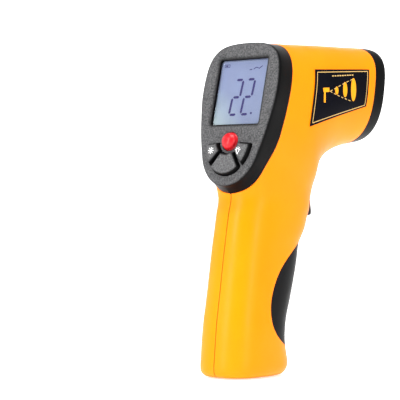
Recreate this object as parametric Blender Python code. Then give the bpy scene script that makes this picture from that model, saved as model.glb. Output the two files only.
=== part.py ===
"""Pistol-grip infrared thermometer, at rest.

+Z is up, the nose points to +Y, the display faces -Y, and +X is the user's right.

Every length below is in millimetres. The finished meshes are scaled to metres.
"""

import math

import bmesh
import bpy
from mathutils import Matrix, Vector

MM = 0.001

# Play between neighbours
GAP = 0.3

# Body surface. Each row is one cross-section, from the nose face, round above the trigger, down to the base:
# underside or front edge (y, z), top or back edge (y, z), half width, roundness at each edge,
# widest place (0 to 1).
SECTIONS = (
    (47.0, 104.6, 52.3, 146.6, 17.0, 2.5, 2.8, 0.60),
    (45.8, 103.6, 51.2, 147.3, 17.9, 2.6, 2.8, 0.60),
    (43.2, 103.0, 48.6, 147.5, 18.2, 2.6, 2.8, 0.60),
    (37.0, 102.2, 43.2, 147.3, 18.4, 2.6, 2.8, 0.60),
    (29.6, 100.6, 33.0, 146.9, 18.6, 2.4, 2.8, 0.58),
    (23.0, 98.4, 22.0, 146.5, 18.8, 2.2, 2.9, 0.57),
    (17.6, 95.8, 11.0, 146.1, 18.9, 2.1, 2.9, 0.56),
    (13.8, 93.2, 0.0, 145.6, 19.0, 2.1, 2.9, 0.55),
    (11.7, 90.9, -10.0, 145.1, 19.2, 2.1, 2.9, 0.55),
    (10.4, 88.8, -19.5, 144.5, 19.4, 2.1, 3.0, 0.55),
    (9.6, 86.9, -28.5, 141.0, 19.5, 2.2, 3.8, 0.55),
    (9.1, 85.0, -34.8, 132.0, 19.5, 2.2, 6.0, 0.55),
    (8.7, 83.0, -38.0, 121.5, 19.0, 2.2, 6.0, 0.55),
    (8.2, 81.0, -41.0, 110.0, 17.9, 2.2, 6.0, 0.55),
    (7.6, 78.5, -42.8, 98.0, 16.4, 2.3, 3.2, 0.55),
    (6.4, 75.0, -42.4, 87.0, 15.6, 2.4, 2.8, 0.54),
    (5.2, 71.5, -40.6, 77.5, 15.2, 2.5, 2.6, 0.52),
    (3.6, 68.0, -42.2, 70.5, 15.0, 2.5, 2.6, 0.50),
    (1.8, 64.0, -43.5, 63.5, 14.9, 2.6, 2.6, 0.50),
    (-1.0, 60.0, -44.6, 57.5, 14.8, 2.6, 2.6, 0.50),
    (-2.9, 57.0, -45.3, 53.5, 14.7, 2.6, 2.6, 0.50),
    (-4.3, 49.7, -46.3, 47.5, 14.7, 2.6, 2.6, 0.50),
    (-6.1, 43.0, -47.3, 41.0, 14.7, 2.6, 2.6, 0.50),
    (-9.2, 33.0, -48.8, 31.5, 14.7, 2.6, 2.6, 0.50),
    (-11.8, 26.0, -49.9, 25.0, 14.8, 2.6, 2.6, 0.50),
    (-13.1, 20.0, -50.6, 19.0, 15.0, 2.6, 2.6, 0.50),
    (-13.2, 15.0, -51.1, 14.0, 15.1, 2.6, 2.6, 0.50),
    (-12.2, 10.0, -51.5, 9.0, 15.2, 2.6, 2.6, 0.50),
    (-11.3, 6.0, -51.9, 5.0, 15.3, 2.6, 2.6, 0.50),
    (-11.8, 3.3, -51.6, 2.2, 15.0, 2.6, 2.6, 0.50),
    (-13.7, 0.9, -49.9, 0.5, 13.6, 2.6, 2.6, 0.50),
    (-16.5, 0.0, -47.6, 0.0, 11.2, 2.6, 2.6, 0.50),
)
NOSE_ROW = 3  # the nose cap meets the shells here
FLOOR_ROW = 29  # the hollow ends here
WALL = 2.4

# Rear edge of the shells in side view (y, z), where the display surround starts
SURROUND_EDGE = (
    (-15.6, 153.0),
    (-29.3, 103.0),
    (-31.1, 98.1),
    (-33.2, 93.4),
    (-35.8, 88.0),
    (-38.2, 83.0),
    (-41.0, 78.4),
    (-44.5, 74.0),
)
SURROUND_TOP = 144.6
SURROUND_BOTTOM = 78.6

# Display face: its plane, and its outline from the top round the +X side (across, up the face)
PANEL_CENTRE = (0.0, -39.6, 108.0)
PANEL_TILT = math.radians(13.8)
PANEL_OUTLINE = (
    (0.0, 37.9),
    (8.0, 37.5),
    (13.8, 35.9),
    (17.8, 32.5),
    (20.0, 27.4),
    (20.9, 20.0),
    (20.8, 12.0),
    (19.6, 4.0),
    (18.2, -3.5),
    (16.5, -10.0),
    (14.2, -17.0),
    (10.6, -22.2),
    (5.7, -25.6),
    (0.0, -26.8),
)
PANEL_WALL = 2.2

# Display window (across, up the face, out of the face)
WINDOW_HALF_WIDTH = 13.2
WINDOW_LOW = 0.9
WINDOW_HIGH = 30.4
WINDOW_RECESS = 1.6
WINDOW_BEVEL = 1.6
WINDOW_THICKNESS = 1.0

# Keys round the red key
KEYS_CENTRE = (0.0, -7.0)
RED_KEY_RADIUS = 4.0
KEY_INNER_RADIUS = 5.7
KEYS_HALF_WIDTH = 12.4
KEYS_HALF_HEIGHT = 15.2
KEY_RISE = 2.2
KEY_DEPTH = 3.0
KEY_ARCS = {"light_key": (-50, -6), "mode_key": (-124, -56), "laser_key": (-174, -130)}

# Nose face
NOSE_CENTRE = (0.0, 50.1, 128.0)
NOSE_LEAN = math.radians(7.2)
SIGHT_UP = -4.1
SIGHT_RADIUS = 8.1
LASER_UP = 11.3
LASER_RADIUS = 3.3

# Trigger, in side view (y, z)
TRIGGER_PIVOT = (3.5, 86.0)
TRIGGER_HALF_WIDTH = 5.0
TRIGGER_OUTLINE = (
    (7.7, 88.4),
    (8.5, 83.0),
    (9.3, 78.0),
    (10.3, 71.2),
    (10.2, 69.9),
    (9.2, 69.3),
    (2.2, 68.4),
    (-2.6, 69.6),
    (-3.4, 80.0),
    (-0.8, 87.4),
    (2.5, 88.8),
)

# Battery door, in side view (y, z)
DOOR_AXIS = (-5.2, 57.6)
DOOR_WALL = 1.7
DOOR_OUTLINE = (
    (6.0, 59.6),
    (-2.0, 59.0),
    (-8.7, 57.3),
    (-16.0, 53.2),
    (-21.5, 48.9),
    (-25.7, 44.3),
    (-28.6, 39.3),
    (-30.6, 34.0),
    (-31.2, 28.6),
    (-30.2, 22.9),
    (-27.0, 18.0),
    (-21.4, 14.2),
    (-15.2, 12.1),
    (-9.0, 11.0),
    (6.0, 10.8),
)

# Cells: two AAA side by side, leaning with the handle
CELL_FOOT = (0.0, -24.75, 14.0)
CELL_LEAN = math.radians(15.4)
CELL_RADIUS = 5.2
CELL_LENGTH = 44.5
CELL_OFFSET = 5.35

# Side labels: corners in side view (y, z)
LABEL_CORNERS = ((35.8, 136.0), (-5.2, 133.5), (-10.6, 108.2), (33.5, 119.0))

# Case screws, in side view (y, z)
SCREWS = {"case_screw_front": (10.0, 126.0), "case_screw_rear": (-3.0, 114.0)}

YELLOW = (1.0, 0.40, 0.01)
BLACK = (0.02, 0.02, 0.022)
STEEL = (0.6, 0.6, 0.6)
BRASS = (0.75, 0.5, 0.2)


# ---------------------------------------------------------------- general shapes


def finish(name, mesh, color, roughness=0.45, metallic=0.0, sharp=35.0):
    """Scales the mesh to metres, and makes it an object with its own material."""
    mesh.transform(Matrix.Scale(MM, 4))
    mesh.name = name
    part = bpy.data.objects.new(name, mesh)
    bpy.context.scene.collection.objects.link(part)
    material = bpy.data.materials.new(name)
    material.use_nodes = True
    shader = material.node_tree.nodes["Principled BSDF"]
    shader.inputs["Base Color"].default_value = (*color, 1.0)
    shader.inputs["Roughness"].default_value = roughness
    shader.inputs["Metallic"].default_value = metallic
    mesh.materials.clear()
    mesh.materials.append(material)
    mesh.shade_smooth()
    mesh.set_sharp_from_angle(angle=math.radians(sharp))
    return part


def mesh_of(points, faces):
    """A mesh with its faces turned outwards."""
    mesh = bpy.data.meshes.new("shape")
    mesh.from_pydata([tuple(point) for point in points], [], faces)
    shape = bmesh.new()
    shape.from_mesh(mesh)
    bmesh.ops.recalc_face_normals(shape, faces=shape.faces)
    if shape.calc_volume(signed=True) < 0:
        bmesh.ops.reverse_faces(shape, faces=shape.faces)
    shape.to_mesh(mesh)
    shape.free()
    return mesh


def loft(loops, closed=False):
    """Joins loops of equal length, and caps the two ends, or joins the last loop to the first."""
    count = len(loops[0])
    points = [point for loop in loops for point in loop]
    faces = []
    for k in range(len(loops) if closed else len(loops) - 1):
        here = k * count
        there = (k + 1) % len(loops) * count
        for i in range(count):
            j = (i + 1) % count
            faces.append((here + i, here + j, there + j, there + i))
    if not closed:
        faces.append(tuple(range(count)))
        faces.append(tuple(range((len(loops) - 1) * count, len(loops) * count)))
    return mesh_of(points, faces)


def tidied(mesh, merge=0.0):
    """Joins points that are closer than a distance, and splits every face into triangles."""
    shape = bmesh.new()
    shape.from_mesh(mesh)
    if merge:
        bmesh.ops.remove_doubles(shape, verts=shape.verts, dist=merge)
        bmesh.ops.dissolve_degenerate(shape, edges=shape.edges, dist=merge)
    bmesh.ops.triangulate(shape, faces=shape.faces)
    shape.to_mesh(mesh)
    shape.free()
    return mesh


def carve(mesh, tools, operation="DIFFERENCE"):
    """Cuts each tool from the mesh, or joins it to the mesh, with an exact Boolean."""
    for tool in tools:
        base = bpy.data.objects.new("base", tidied(mesh))
        cutter = bpy.data.objects.new("cutter", tidied(tool))
        bpy.context.scene.collection.objects.link(base)
        bpy.context.scene.collection.objects.link(cutter)
        step = base.modifiers.new("carve", "BOOLEAN")
        step.operation = operation
        step.solver = "EXACT"
        step.object = cutter
        graph = bpy.context.evaluated_depsgraph_get()
        mesh = bpy.data.meshes.new_from_object(base.evaluated_get(graph))
        bpy.data.objects.remove(base)
        bpy.data.objects.remove(cutter)
        tidied(mesh, 0.002)
    return mesh


def frame_matrix(origin, across, up):
    """Columns: across, up, and their cross product, at the origin."""
    across = Vector(across).normalized()
    up = Vector(up).normalized()
    out = across.cross(up)
    matrix = Matrix((across, up, out)).transposed().to_4x4()
    matrix.translation = Vector(origin)
    return matrix


SIDE = frame_matrix((0, 0, 0), (0, 1, 0), (0, 0, 1))
PANEL = frame_matrix(PANEL_CENTRE, (1, 0, 0), (0, math.sin(PANEL_TILT), math.cos(PANEL_TILT)))
NOSE = frame_matrix(NOSE_CENTRE, (-1, 0, 0), (0, math.sin(NOSE_LEAN), math.cos(NOSE_LEAN)))
CELLS = frame_matrix(CELL_FOOT, (-1, 0, 0), (0, math.sin(CELL_LEAN), math.cos(CELL_LEAN)))
ALONG_Y = frame_matrix((0, 0, 0), (1, 0, 0), (0, 0, -1))
UP_CELLS = frame_matrix(CELL_FOOT, (1, 0, 0), (0, math.cos(CELL_LEAN), -math.sin(CELL_LEAN)))


def in_frame(matrix, outline, height):
    return [matrix @ Vector((a, b, height)) for a, b in outline]


def prism(matrix, outline, low, high):
    return loft([in_frame(matrix, outline, low), in_frame(matrix, outline, high)])


def box(matrix, low, high):
    outline = ((low[0], low[1]), (high[0], low[1]), (high[0], high[1]), (low[0], high[1]))
    return prism(matrix, outline, low[2], high[2])


def ring(centre, radius, sides):
    turn = 2 * math.pi / sides
    return [
        (centre[0] + radius * math.cos(i * turn), centre[1] + radius * math.sin(i * turn))
        for i in range(sides)
    ]


def turned(matrix, centre, profile, sides=24, hollow=False):
    """A body of revolution about the frame's third axis. Profile: (height, radius)."""
    loops = [in_frame(matrix, ring(centre, radius, sides), height) for height, radius in profile]
    return loft(loops, closed=hollow)


def cross_rod(y, z, low, high, radius, sides=20):
    """A rod along X."""
    return turned(SIDE, (y, z), ((low, radius), (high, radius)), sides)


def tube(points, radius, sides=4, smooth=True):
    """A round wire along a path, as a bevelled curve with filled caps."""
    curve = bpy.data.curves.new("wire", "CURVE")
    curve.dimensions = "3D"
    curve.bevel_depth = radius
    curve.bevel_resolution = sides - 2
    curve.use_fill_caps = True
    curve.resolution_u = 6
    if smooth:
        line = curve.splines.new("BEZIER")
        line.bezier_points.add(len(points) - 1)
        for knot, point in zip(line.bezier_points, points):
            knot.co = point
            knot.handle_left_type = "AUTO"
            knot.handle_right_type = "AUTO"
    else:
        line = curve.splines.new("POLY")
        line.points.add(len(points) - 1)
        for knot, point in zip(line.points, points):
            knot.co = (*point, 1.0)
    holder = bpy.data.objects.new("wire", curve)
    bpy.context.scene.collection.objects.link(holder)
    graph = bpy.context.evaluated_depsgraph_get()
    mesh = bpy.data.meshes.new_from_object(holder.evaluated_get(graph))
    bpy.data.objects.remove(holder)
    shape = bmesh.new()
    shape.from_mesh(mesh)
    bmesh.ops.remove_doubles(shape, verts=shape.verts, dist=0.001)
    bmesh.ops.recalc_face_normals(shape, faces=shape.faces)
    shape.to_mesh(mesh)
    shape.free()
    return mesh


def coil(matrix, centre, low, high, radius, wire, turns, steps=12):
    """A helical spring about the frame's third axis."""
    count = int(turns * steps)
    points = []
    for i in range(count + 1):
        angle = 2 * math.pi * i / steps
        height = low + (high - low) * i / count
        spot = (centre[0] + radius * math.cos(angle), centre[1] + radius * math.sin(angle), height)
        points.append(matrix @ Vector(spot))
    return tube(points, wire, 3, smooth=False)


def bevelled(mesh, width, segments=1, angle=50.0):
    """Bevels the sharp edges of a small moulded piece."""
    shape = bmesh.new()
    shape.from_mesh(mesh)
    bmesh.ops.dissolve_limit(shape, angle_limit=math.radians(1), verts=shape.verts, edges=shape.edges)
    limit = math.radians(angle)
    edges = [e for e in shape.edges if len(e.link_faces) == 2 and e.calc_face_angle() > limit]
    bmesh.ops.bevel(
        shape, geom=edges, offset=width, segments=segments, affect="EDGES", profile=0.5, clamp_overlap=True
    )
    shape.to_mesh(mesh)
    shape.free()
    return mesh


# ---------------------------------------------------------------- body surface


def catmull(before, start, end, after, t):
    """A smooth curve between two of four values."""
    return 0.5 * (
        2 * start
        + (end - before) * t
        + (2 * before - 5 * start + 4 * end - after) * t * t
        + (3 * start - before - 3 * end + after) * t**3
    )


def section_at(position):
    """The section row at a place along the body, between rows where it isn't whole."""
    last = len(SECTIONS) - 1
    index = min(int(position), last - 1)
    t = position - index
    rows = [SECTIONS[max(0, min(last, index + step))] for step in (-1, 0, 1, 2)]
    return tuple(catmull(*values, t) for values in zip(*rows))


def half_width(row, fraction, inset=0.0):
    """Half width of a section, at a fraction of the way from its front or lower edge to the other edge."""
    _, _, _, _, width, low_round, high_round, widest = row
    if fraction <= 0 or fraction >= 1:
        return 0.0
    if fraction < widest:
        reach, power = (widest - fraction) / widest, low_round
    else:
        reach, power = (fraction - widest) / (1 - widest), high_round
    return (width - inset) * (1 - reach**power) ** (1 / power)


def section_loop(row, half_count, inset=0.0, forward=0.0):
    """Points round a section from its lower edge up the +X side, and down the -X side."""
    y0, z0, y1, z1, width, low_round, high_round, widest = row
    low = Vector((0, y0, z0))
    high = Vector((0, y1, z1))
    along = (high - low).normalized()
    low += along * inset
    high -= along * inset
    length = (high - low).length
    move = Vector((0, along.z, -along.y)) * forward
    centre = low + along * length * widest + move
    points = []
    for i in range(half_count + 1):
        angle = math.pi * i / half_count
        rounding = low_round if angle < math.pi / 2 else high_round
        reach = widest * length if angle < math.pi / 2 else (1 - widest) * length
        step = -math.copysign(abs(math.cos(angle)) ** (2 / rounding), math.cos(angle)) * reach
        side = (width - inset) * math.sin(angle) ** (2 / rounding) if 0 < i < half_count else 0.0
        points.append(centre + along * step + Vector((side, 0, 0)))
    return points + [Vector((-p.x, p.y, p.z)) for p in reversed(points[1:-1])]


SURFACE = [section_at(k / 2) for k in range(2 * len(SECTIONS) - 1)]


def body_half_width(y, z, inset=0.0):
    """Half width of the whole body surface at a point of its side view."""
    before = None
    for row in SURFACE:
        line = Vector((row[2] - row[0], row[3] - row[1]))
        point = Vector((y - row[0], z - row[1]))
        side = line.x * point.y - line.y * point.x
        width = half_width(row, point.dot(line) / line.length_squared, inset)
        if before is not None and before[0] >= 0 > side:
            share = before[0] / (before[0] - side)
            return before[1] + (width - before[1]) * share
        before = (side, width)
    return 0.0


def body_loops(first, last, half_count, step=0.5, inset=0.0):
    """Section loops between two rows."""
    count = round((last - first) / step)
    return [section_loop(section_at(first + step * i), half_count, inset) for i in range(count + 1)]


# ---------------------------------------------------------------- shells

EDGE_BACK = (-80.0, SURROUND_EDGE[-1][1])
EDGE_TOP = (-80.0, SURROUND_EDGE[0][1] + 5)


def behind_surround_edge():
    """Everything behind the rear edge of the shells."""
    outline = (*SURROUND_EDGE, EDGE_BACK, EDGE_TOP, (SURROUND_EDGE[0][0], EDGE_TOP[1]))
    return prism(SIDE, outline, -40, 40)


def grown(outline, distance):
    """The outline moved outwards by a distance."""
    count = len(outline)
    area = sum(
        outline[i][0] * outline[(i + 1) % count][1] - outline[(i + 1) % count][0] * outline[i][1]
        for i in range(count)
    )
    turn = 1 if area > 0 else -1
    moved = []
    for i in range(count):
        here = Vector(outline[i])
        arrive = (here - Vector(outline[i - 1])).normalized()
        leave = (Vector(outline[(i + 1) % count]) - here).normalized()
        out_a = Vector((arrive.y, -arrive.x)) * turn
        out_b = Vector((leave.y, -leave.x)) * turn
        middle = (out_a + out_b).normalized()
        reach = distance / max(0.4, middle.dot(out_a))
        moved.append(tuple(here + middle * reach))
    return moved


HEAD_X = 15.8
SHANK_CLEARANCE = 1.5
PIN_BOSS_X = TRIGGER_HALF_WIDTH + 2 * GAP
KNUCKLE_HALF_WIDTH = 2.3
LUG_X = (2.6, 4.4)
LUG_OUTLINE = (
    (-3.7, 57.6),
    (-4.2, 58.7),
    (-5.8, 59.3),
    (-5.9, 62.2),
    (-0.4, 62.3),
    (-0.4, 63.6),
    (-6.6, 63.6),
    (-7.3, 62.4),
    (-7.2, 58.6),
    (-6.7, 57.6),
    (-6.2, 56.5),
    (-5.2, 56.1),
    (-4.2, 56.5),
)
DOOR_RELIEF = (
    (-9.6, 2.0),
    (-8.0, 2.8),
    (-5.0, 3.85),
    (-2.5, 4.3),
    (2.5, 4.3),
    (5.0, 3.85),
    (8.0, 2.8),
    (9.6, 2.0),
)
TAB_HALF_WIDTH = 4.7
TAB_LOW = 1.8
TAB_HIGH = 10.9


def case():
    """Both halves of the case in one piece, hollow and open at the nose, the display and the battery door."""
    outer = loft(body_loops(NOSE_ROW, len(SECTIONS) - 1, 14, 0.5))
    hollow = body_loops(NOSE_ROW, FLOOR_ROW, 10, 1.0, WALL)
    front = [point + Vector((0, 8, 0)) for point in hollow[0]]
    slot = box(SIDE, (-6.0, 67.7, -TRIGGER_HALF_WIDTH - GAP), (30.0, 89.3, TRIGGER_HALF_WIDTH + GAP))
    door = prism(SIDE, grown(DOOR_OUTLINE, 0.35), -30, 30)
    relief = turned(SIDE, DOOR_AXIS, DOOR_RELIEF, 28)
    tab = box(SIDE, (-15.2, TAB_LOW - 0.4, -TAB_HALF_WIDTH - GAP), (0, 13.5, TAB_HALF_WIDTH + GAP))
    return carve(outer, [loft([front, *hollow]), behind_surround_edge(), slot, door, relief, tab])


def boss_reach(y, z, radius):
    """How far along X a boss can go before it would show through the body surface."""
    spots = ring((y, z), radius, 12)
    return min(body_half_width(*spot) for spot in spots) - 0.8


def shell(whole, side):
    """One half of the case with its bosses."""
    away = box(SIDE, (-99, -9, -99 if side > 0 else -GAP / 2), (99, 199, GAP / 2 if side > 0 else 99))
    body = carve(whole.copy(), [away])
    bosses = []
    holes = []
    for y, z in SCREWS.values():
        reach = boss_reach(y, z, 3.3)
        bosses.append(cross_rod(y, z, side * GAP / 2, side * reach, 3.3, 16))
        if side < 0:
            holes.append(cross_rod(y, z, -30, 1, SHANK_CLEARANCE, 16))
            holes.append(cross_rod(y, z, -30, GAP - HEAD_X, 2.8, 16))
        else:
            holes.append(cross_rod(y, z, -1, 11, SHANK_CLEARANCE, 16))
    pivot_y, pivot_z = TRIGGER_PIVOT
    reach = boss_reach(pivot_y, pivot_z, 2.6)
    bosses.append(cross_rod(pivot_y, pivot_z, side * PIN_BOSS_X, side * reach, 2.6, 16))
    holes.append(cross_rod(pivot_y, pivot_z, -8.3, 8.3, 1.3, 16))
    lug_low, lug_high = sorted((side * LUG_X[0], side * LUG_X[1]))
    bosses.append(prism(SIDE, LUG_OUTLINE, lug_low, lug_high))
    holes.append(cross_rod(*DOOR_AXIS, -5, 5, 0.56, 16))
    return carve(carve(body, bosses, "UNION"), holes)


for old in list(bpy.data.objects):
    bpy.data.objects.remove(old)

whole_case = case()
finish("right_shell", shell(whole_case, 1), YELLOW, 0.4)
finish("left_shell", shell(whole_case, -1), YELLOW, 0.4)


# ---------------------------------------------------------------- display surround


def closed_curve(points, steps):
    """A smooth closed outline through points."""
    count = len(points)
    found = []
    for i in range(count):
        knots = [points[(i + step) % count] for step in (-1, 0, 1, 2)]
        for j in range(steps):
            found.append(tuple(catmull(*values, j / steps) for values in zip(*knots)))
    return found


FULL_PANEL = PANEL_OUTLINE + tuple((-a, b) for a, b in reversed(PANEL_OUTLINE[1:-1]))
PANEL_CURVE = closed_curve(FULL_PANEL, 2)
PANEL_TOP = PANEL_OUTLINE[0][1]
PANEL_LOW = PANEL_OUTLINE[-1][1]


def edge_y(z):
    """Where the shells' rear edge is at a height."""
    for (y0, z0), (y1, z1) in zip(SURROUND_EDGE, SURROUND_EDGE[1:]):
        if z1 <= z <= z0:
            return y0 + (y1 - y0) * (z - z0) / (z1 - z0)
    return SURROUND_EDGE[-1][0]


def rim_loop(inset):
    """The front rim of the surround, against the shells, one point for each point of the face outline."""
    points = []
    for a, b in PANEL_CURVE:
        share = (b - PANEL_LOW) / (PANEL_TOP - PANEL_LOW)
        low = SURROUND_BOTTOM + inset
        z = low + share * (SURROUND_TOP - inset - low)
        y = edge_y(z) - GAP
        width = max(0.0, body_half_width(y, z) - inset)
        points.append(Vector((math.copysign(width, a) if abs(a) > 0.01 else 0.0, y, z)))
    return points


def blend(first, second, share):
    return [p.lerp(q, share) for p, q in zip(first, second)]


def panel_loop(inset, height):
    return in_frame(PANEL, grown(PANEL_CURVE, -inset), height)


def surround():
    """Display surround: a hollow cap with a recess for the display and holes for the keys."""
    rim = rim_loop(0.0)
    rim_inner = rim_loop(PANEL_WALL)
    skirt = panel_loop(0.0, -2.0)
    skirt_inner = panel_loop(PANEL_WALL, -PANEL_WALL - 0.6)
    loops = [
        panel_loop(PANEL_WALL + 0.6, -PANEL_WALL),
        skirt_inner,
        blend(skirt_inner, rim_inner, 0.5),
        rim_inner,
        rim,
        blend(rim, skirt, 0.5),
        skirt,
        panel_loop(0.45, -0.7),
        panel_loop(1.4, 0.0),
    ]
    body = loft(loops)
    recess = loft(
        [
            in_frame(PANEL, window_outline(0.0), -WINDOW_RECESS),
            in_frame(PANEL, window_outline(WINDOW_BEVEL * 1.2), 0.2 * WINDOW_RECESS),
        ]
    )
    opening = prism(PANEL, window_outline(0.0), -5, 1)
    cuts = [recess, opening, prism(PANEL, ring(KEYS_CENTRE, RED_KEY_RADIUS + GAP, 28), -5, 2)]
    for low, high in KEY_ARCS.values():
        cuts.append(prism(PANEL, key_outline(low, high, GAP), -5, 2))
    return carve(body, cuts)


def window_outline(more):
    """Rectangle of the window with short corner cuts, larger by a margin."""
    a = WINDOW_HALF_WIDTH + more
    low = WINDOW_LOW - more
    high = WINDOW_HIGH + more
    cut = 1.0
    return (
        (a, low + cut),
        (a, high - cut),
        (a - cut, high),
        (-a + cut, high),
        (-a, high - cut),
        (-a, low + cut),
        (-a + cut, low),
        (a - cut, low),
    )


def key_outline(low, high, more=0.0):
    """A sector between the red key and the oval edge of the cluster, larger by a margin."""
    inner = []
    outer = []
    steps = 8
    for i in range(steps + 1):
        angle = math.radians(low + (high - low) * i / steps)
        a, b = math.cos(angle), math.sin(angle)
        reach = 1 / math.hypot(a / KEYS_HALF_WIDTH, b / KEYS_HALF_HEIGHT)
        outer.append((KEYS_CENTRE[0] + a * reach, KEYS_CENTRE[1] + b * reach))
        inner.append((KEYS_CENTRE[0] + a * KEY_INNER_RADIUS, KEYS_CENTRE[1] + b * KEY_INNER_RADIUS))
    outline = outer + inner[::-1]
    return grown(outline, more) if more else outline


finish("rear_bezel", surround(), (0.09, 0.09, 0.09), 0.6)

window_top = -WINDOW_RECESS
window = prism(PANEL, window_outline(-GAP), window_top - WINDOW_THICKNESS, window_top)
finish("lcd_window", window, (0.62, 0.68, 0.82), 0.1)
LCD_TOP = window_top - WINDOW_THICKNESS - GAP
LCD_HALF_WIDTH = 13.9
lcd = box(PANEL, (-LCD_HALF_WIDTH, -1.4, LCD_TOP - 1.5), (LCD_HALF_WIDTH, 31.2, LCD_TOP))
finish("lcd_glass", lcd, (0.55, 0.62, 0.75), 0.15)
light = box(PANEL, (-LCD_HALF_WIDTH, 1.9, LCD_TOP - 3.6), (LCD_HALF_WIDTH, 31.2, LCD_TOP - 1.8))
finish("backlight", light, (0.85, 0.87, 0.95), 0.3)
BOARD_TOP = -9.0
strip = box(PANEL, (-12.5, -1.0, BOARD_TOP + GAP), (12.5, 1.2, LCD_TOP - 1.8))
finish("lcd_strip", strip, (0.8, 0.55, 0.65), 0.7)
BOARD_OUTLINE = (
    (8.5, -19.0),
    (11.8, -10.0),
    (13.6, -2.0),
    (13.8, 30.5),
    (-13.8, 30.5),
    (-13.6, -2.0),
    (-11.8, -10.0),
    (-8.5, -19.0),
)
finish("main_board", prism(PANEL, BOARD_OUTLINE, BOARD_TOP - 1.6, BOARD_TOP), (0.03, 0.22, 0.08), 0.4)
chip = box(PANEL, (-5.0, 12.0, BOARD_TOP - 3.5), (5.0, 22.0, BOARD_TOP - 1.6 - GAP))
finish("control_chip", chip, (0.03, 0.03, 0.03), 0.5)
MAT_TOP = -KEY_DEPTH - 1.1
mat_outline = [(a * 0.86, b) for a, b in grown(PANEL_CURVE, -3.4) if b < -2.6]
mat = prism(PANEL, mat_outline, MAT_TOP - 1.4, MAT_TOP)
finish("key_mat", mat, (0.25, 0.25, 0.27), 0.8)

KEY_TONE = (0.05, 0.05, 0.052)
for key_name, (arc_low, arc_high) in KEY_ARCS.items():
    key = prism(PANEL, key_outline(arc_low, arc_high), -KEY_DEPTH, KEY_RISE)
    finish(key_name, bevelled(key, 0.5, 2), KEY_TONE, 0.5)

red_profile = (
    (-KEY_DEPTH, RED_KEY_RADIUS),
    (1.7, RED_KEY_RADIUS),
    (2.5, RED_KEY_RADIUS - 0.5),
    (3.0, RED_KEY_RADIUS - 1.6),
    (3.2, RED_KEY_RADIUS - 3.0),
)
finish("red_key", turned(PANEL, KEYS_CENTRE, red_profile, 28), (0.8, 0.02, 0.04), 0.35)


# ---------------------------------------------------------------- nose


def nose_cap():
    """Front cap: a hollow end that carries the sight hole and the laser hole."""
    wall = 2.2
    loops = [
        section_loop(section_at(0), 16, wall, forward=-wall),
        section_loop(section_at(1), 16, wall, forward=-wall),
        section_loop(section_at(NOSE_ROW), 16, wall, forward=GAP),
        section_loop(section_at(NOSE_ROW), 16, forward=GAP),
        section_loop(section_at(2), 16),
        section_loop(section_at(1), 16),
        section_loop(section_at(0.4), 16),
        section_loop(section_at(0), 16),
    ]
    body = loft(loops)
    sight = prism(NOSE, ring((0, SIGHT_UP), SIGHT_RADIUS, 36), -6, 4)
    laser = prism(NOSE, ring((0, LASER_UP), LASER_RADIUS, 20), -6, 4)
    return carve(body, [sight, laser])


finish("nose_bezel", nose_cap(), (0.06, 0.06, 0.06), 0.6)

SIGHT = (0, SIGHT_UP)
TUBE_BACK = -24.0
tube_profile = ((-3.2, 10.2), (-3.2, 8.4), (TUBE_BACK, 8.4), (TUBE_BACK, 10.2))
finish("lens_tube", turned(NOSE, SIGHT, tube_profile, 32, True), (0.015, 0.015, 0.015), 0.6)
lens_profile = ((-15.2, 8.1), (-14.3, 8.1), (-13.8, 5.0), (-13.6, 2.0))
finish("ir_lens", turned(NOSE, SIGHT, lens_profile, 28), (0.12, 0.12, 0.13), 0.25)
can_profile = ((TUBE_BACK, 4.6), (TUBE_BACK + 0.6, 4.6), (TUBE_BACK + 0.6, 4.1), (TUBE_BACK + 4.0, 4.1))
finish("thermopile", turned(NOSE, SIGHT, can_profile, 24), STEEL, 0.3, 1.0)
sensor_board = turned(NOSE, SIGHT, ((TUBE_BACK - 1.9, 9.6), (TUBE_BACK - GAP, 9.6)), 28)
finish("sensor_board", sensor_board, (0.03, 0.22, 0.08), 0.4)
LASER = (0, LASER_UP)
barrel_profile = ((-1.2, 3.0), (-1.2, 1.7), (-16.0, 1.7), (-16.0, 3.0))
finish("laser_barrel", turned(NOSE, LASER, barrel_profile, 20, True), BRASS, 0.25, 1.0)
laser_lens_profile = ((-4.4, 1.4), (-3.5, 1.4), (-3.2, 0.7))
finish("laser_lens", turned(NOSE, LASER, laser_lens_profile, 16), (0.55, 0.12, 0.12), 0.05)


# ---------------------------------------------------------------- side labels


def label(side):
    """A thin foil on the side of the barrel."""
    across, down = 10, 5
    loops = []
    for lift in (0.18, 0.48):
        grid = []
        for i in range(across + 1):
            row = []
            for j in range(down + 1):
                s, t = i / across, j / down
                top = Vector(LABEL_CORNERS[0]).lerp(Vector(LABEL_CORNERS[1]), s)
                low = Vector(LABEL_CORNERS[3]).lerp(Vector(LABEL_CORNERS[2]), s)
                spot = top.lerp(low, t)
                row.append(Vector((side * (body_half_width(spot.x, spot.y) + lift), spot.x, spot.y)))
            grid.append(row)
        loops.append(grid)
    points = [p for grid in loops for row in grid for p in row]
    size = (across + 1) * (down + 1)
    faces = []
    for level in (0, size):
        for i in range(across):
            for j in range(down):
                a = level + i * (down + 1) + j
                faces.append((a, a + 1, a + down + 2, a + down + 1))
    border = [i * (down + 1) for i in range(across + 1)]
    border += [across * (down + 1) + j for j in range(1, down + 1)]
    border += [i * (down + 1) + down for i in range(across - 1, -1, -1)]
    border += [j for j in range(down - 1, 0, -1)]
    for i, a in enumerate(border):
        b = border[(i + 1) % len(border)]
        faces.append((a, b, b + size, a + size))
    return mesh_of(points, faces)


finish("label_right", label(1), BLACK, 0.3)
finish("label_left", label(-1), BLACK, 0.3)


# ---------------------------------------------------------------- trigger


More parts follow.
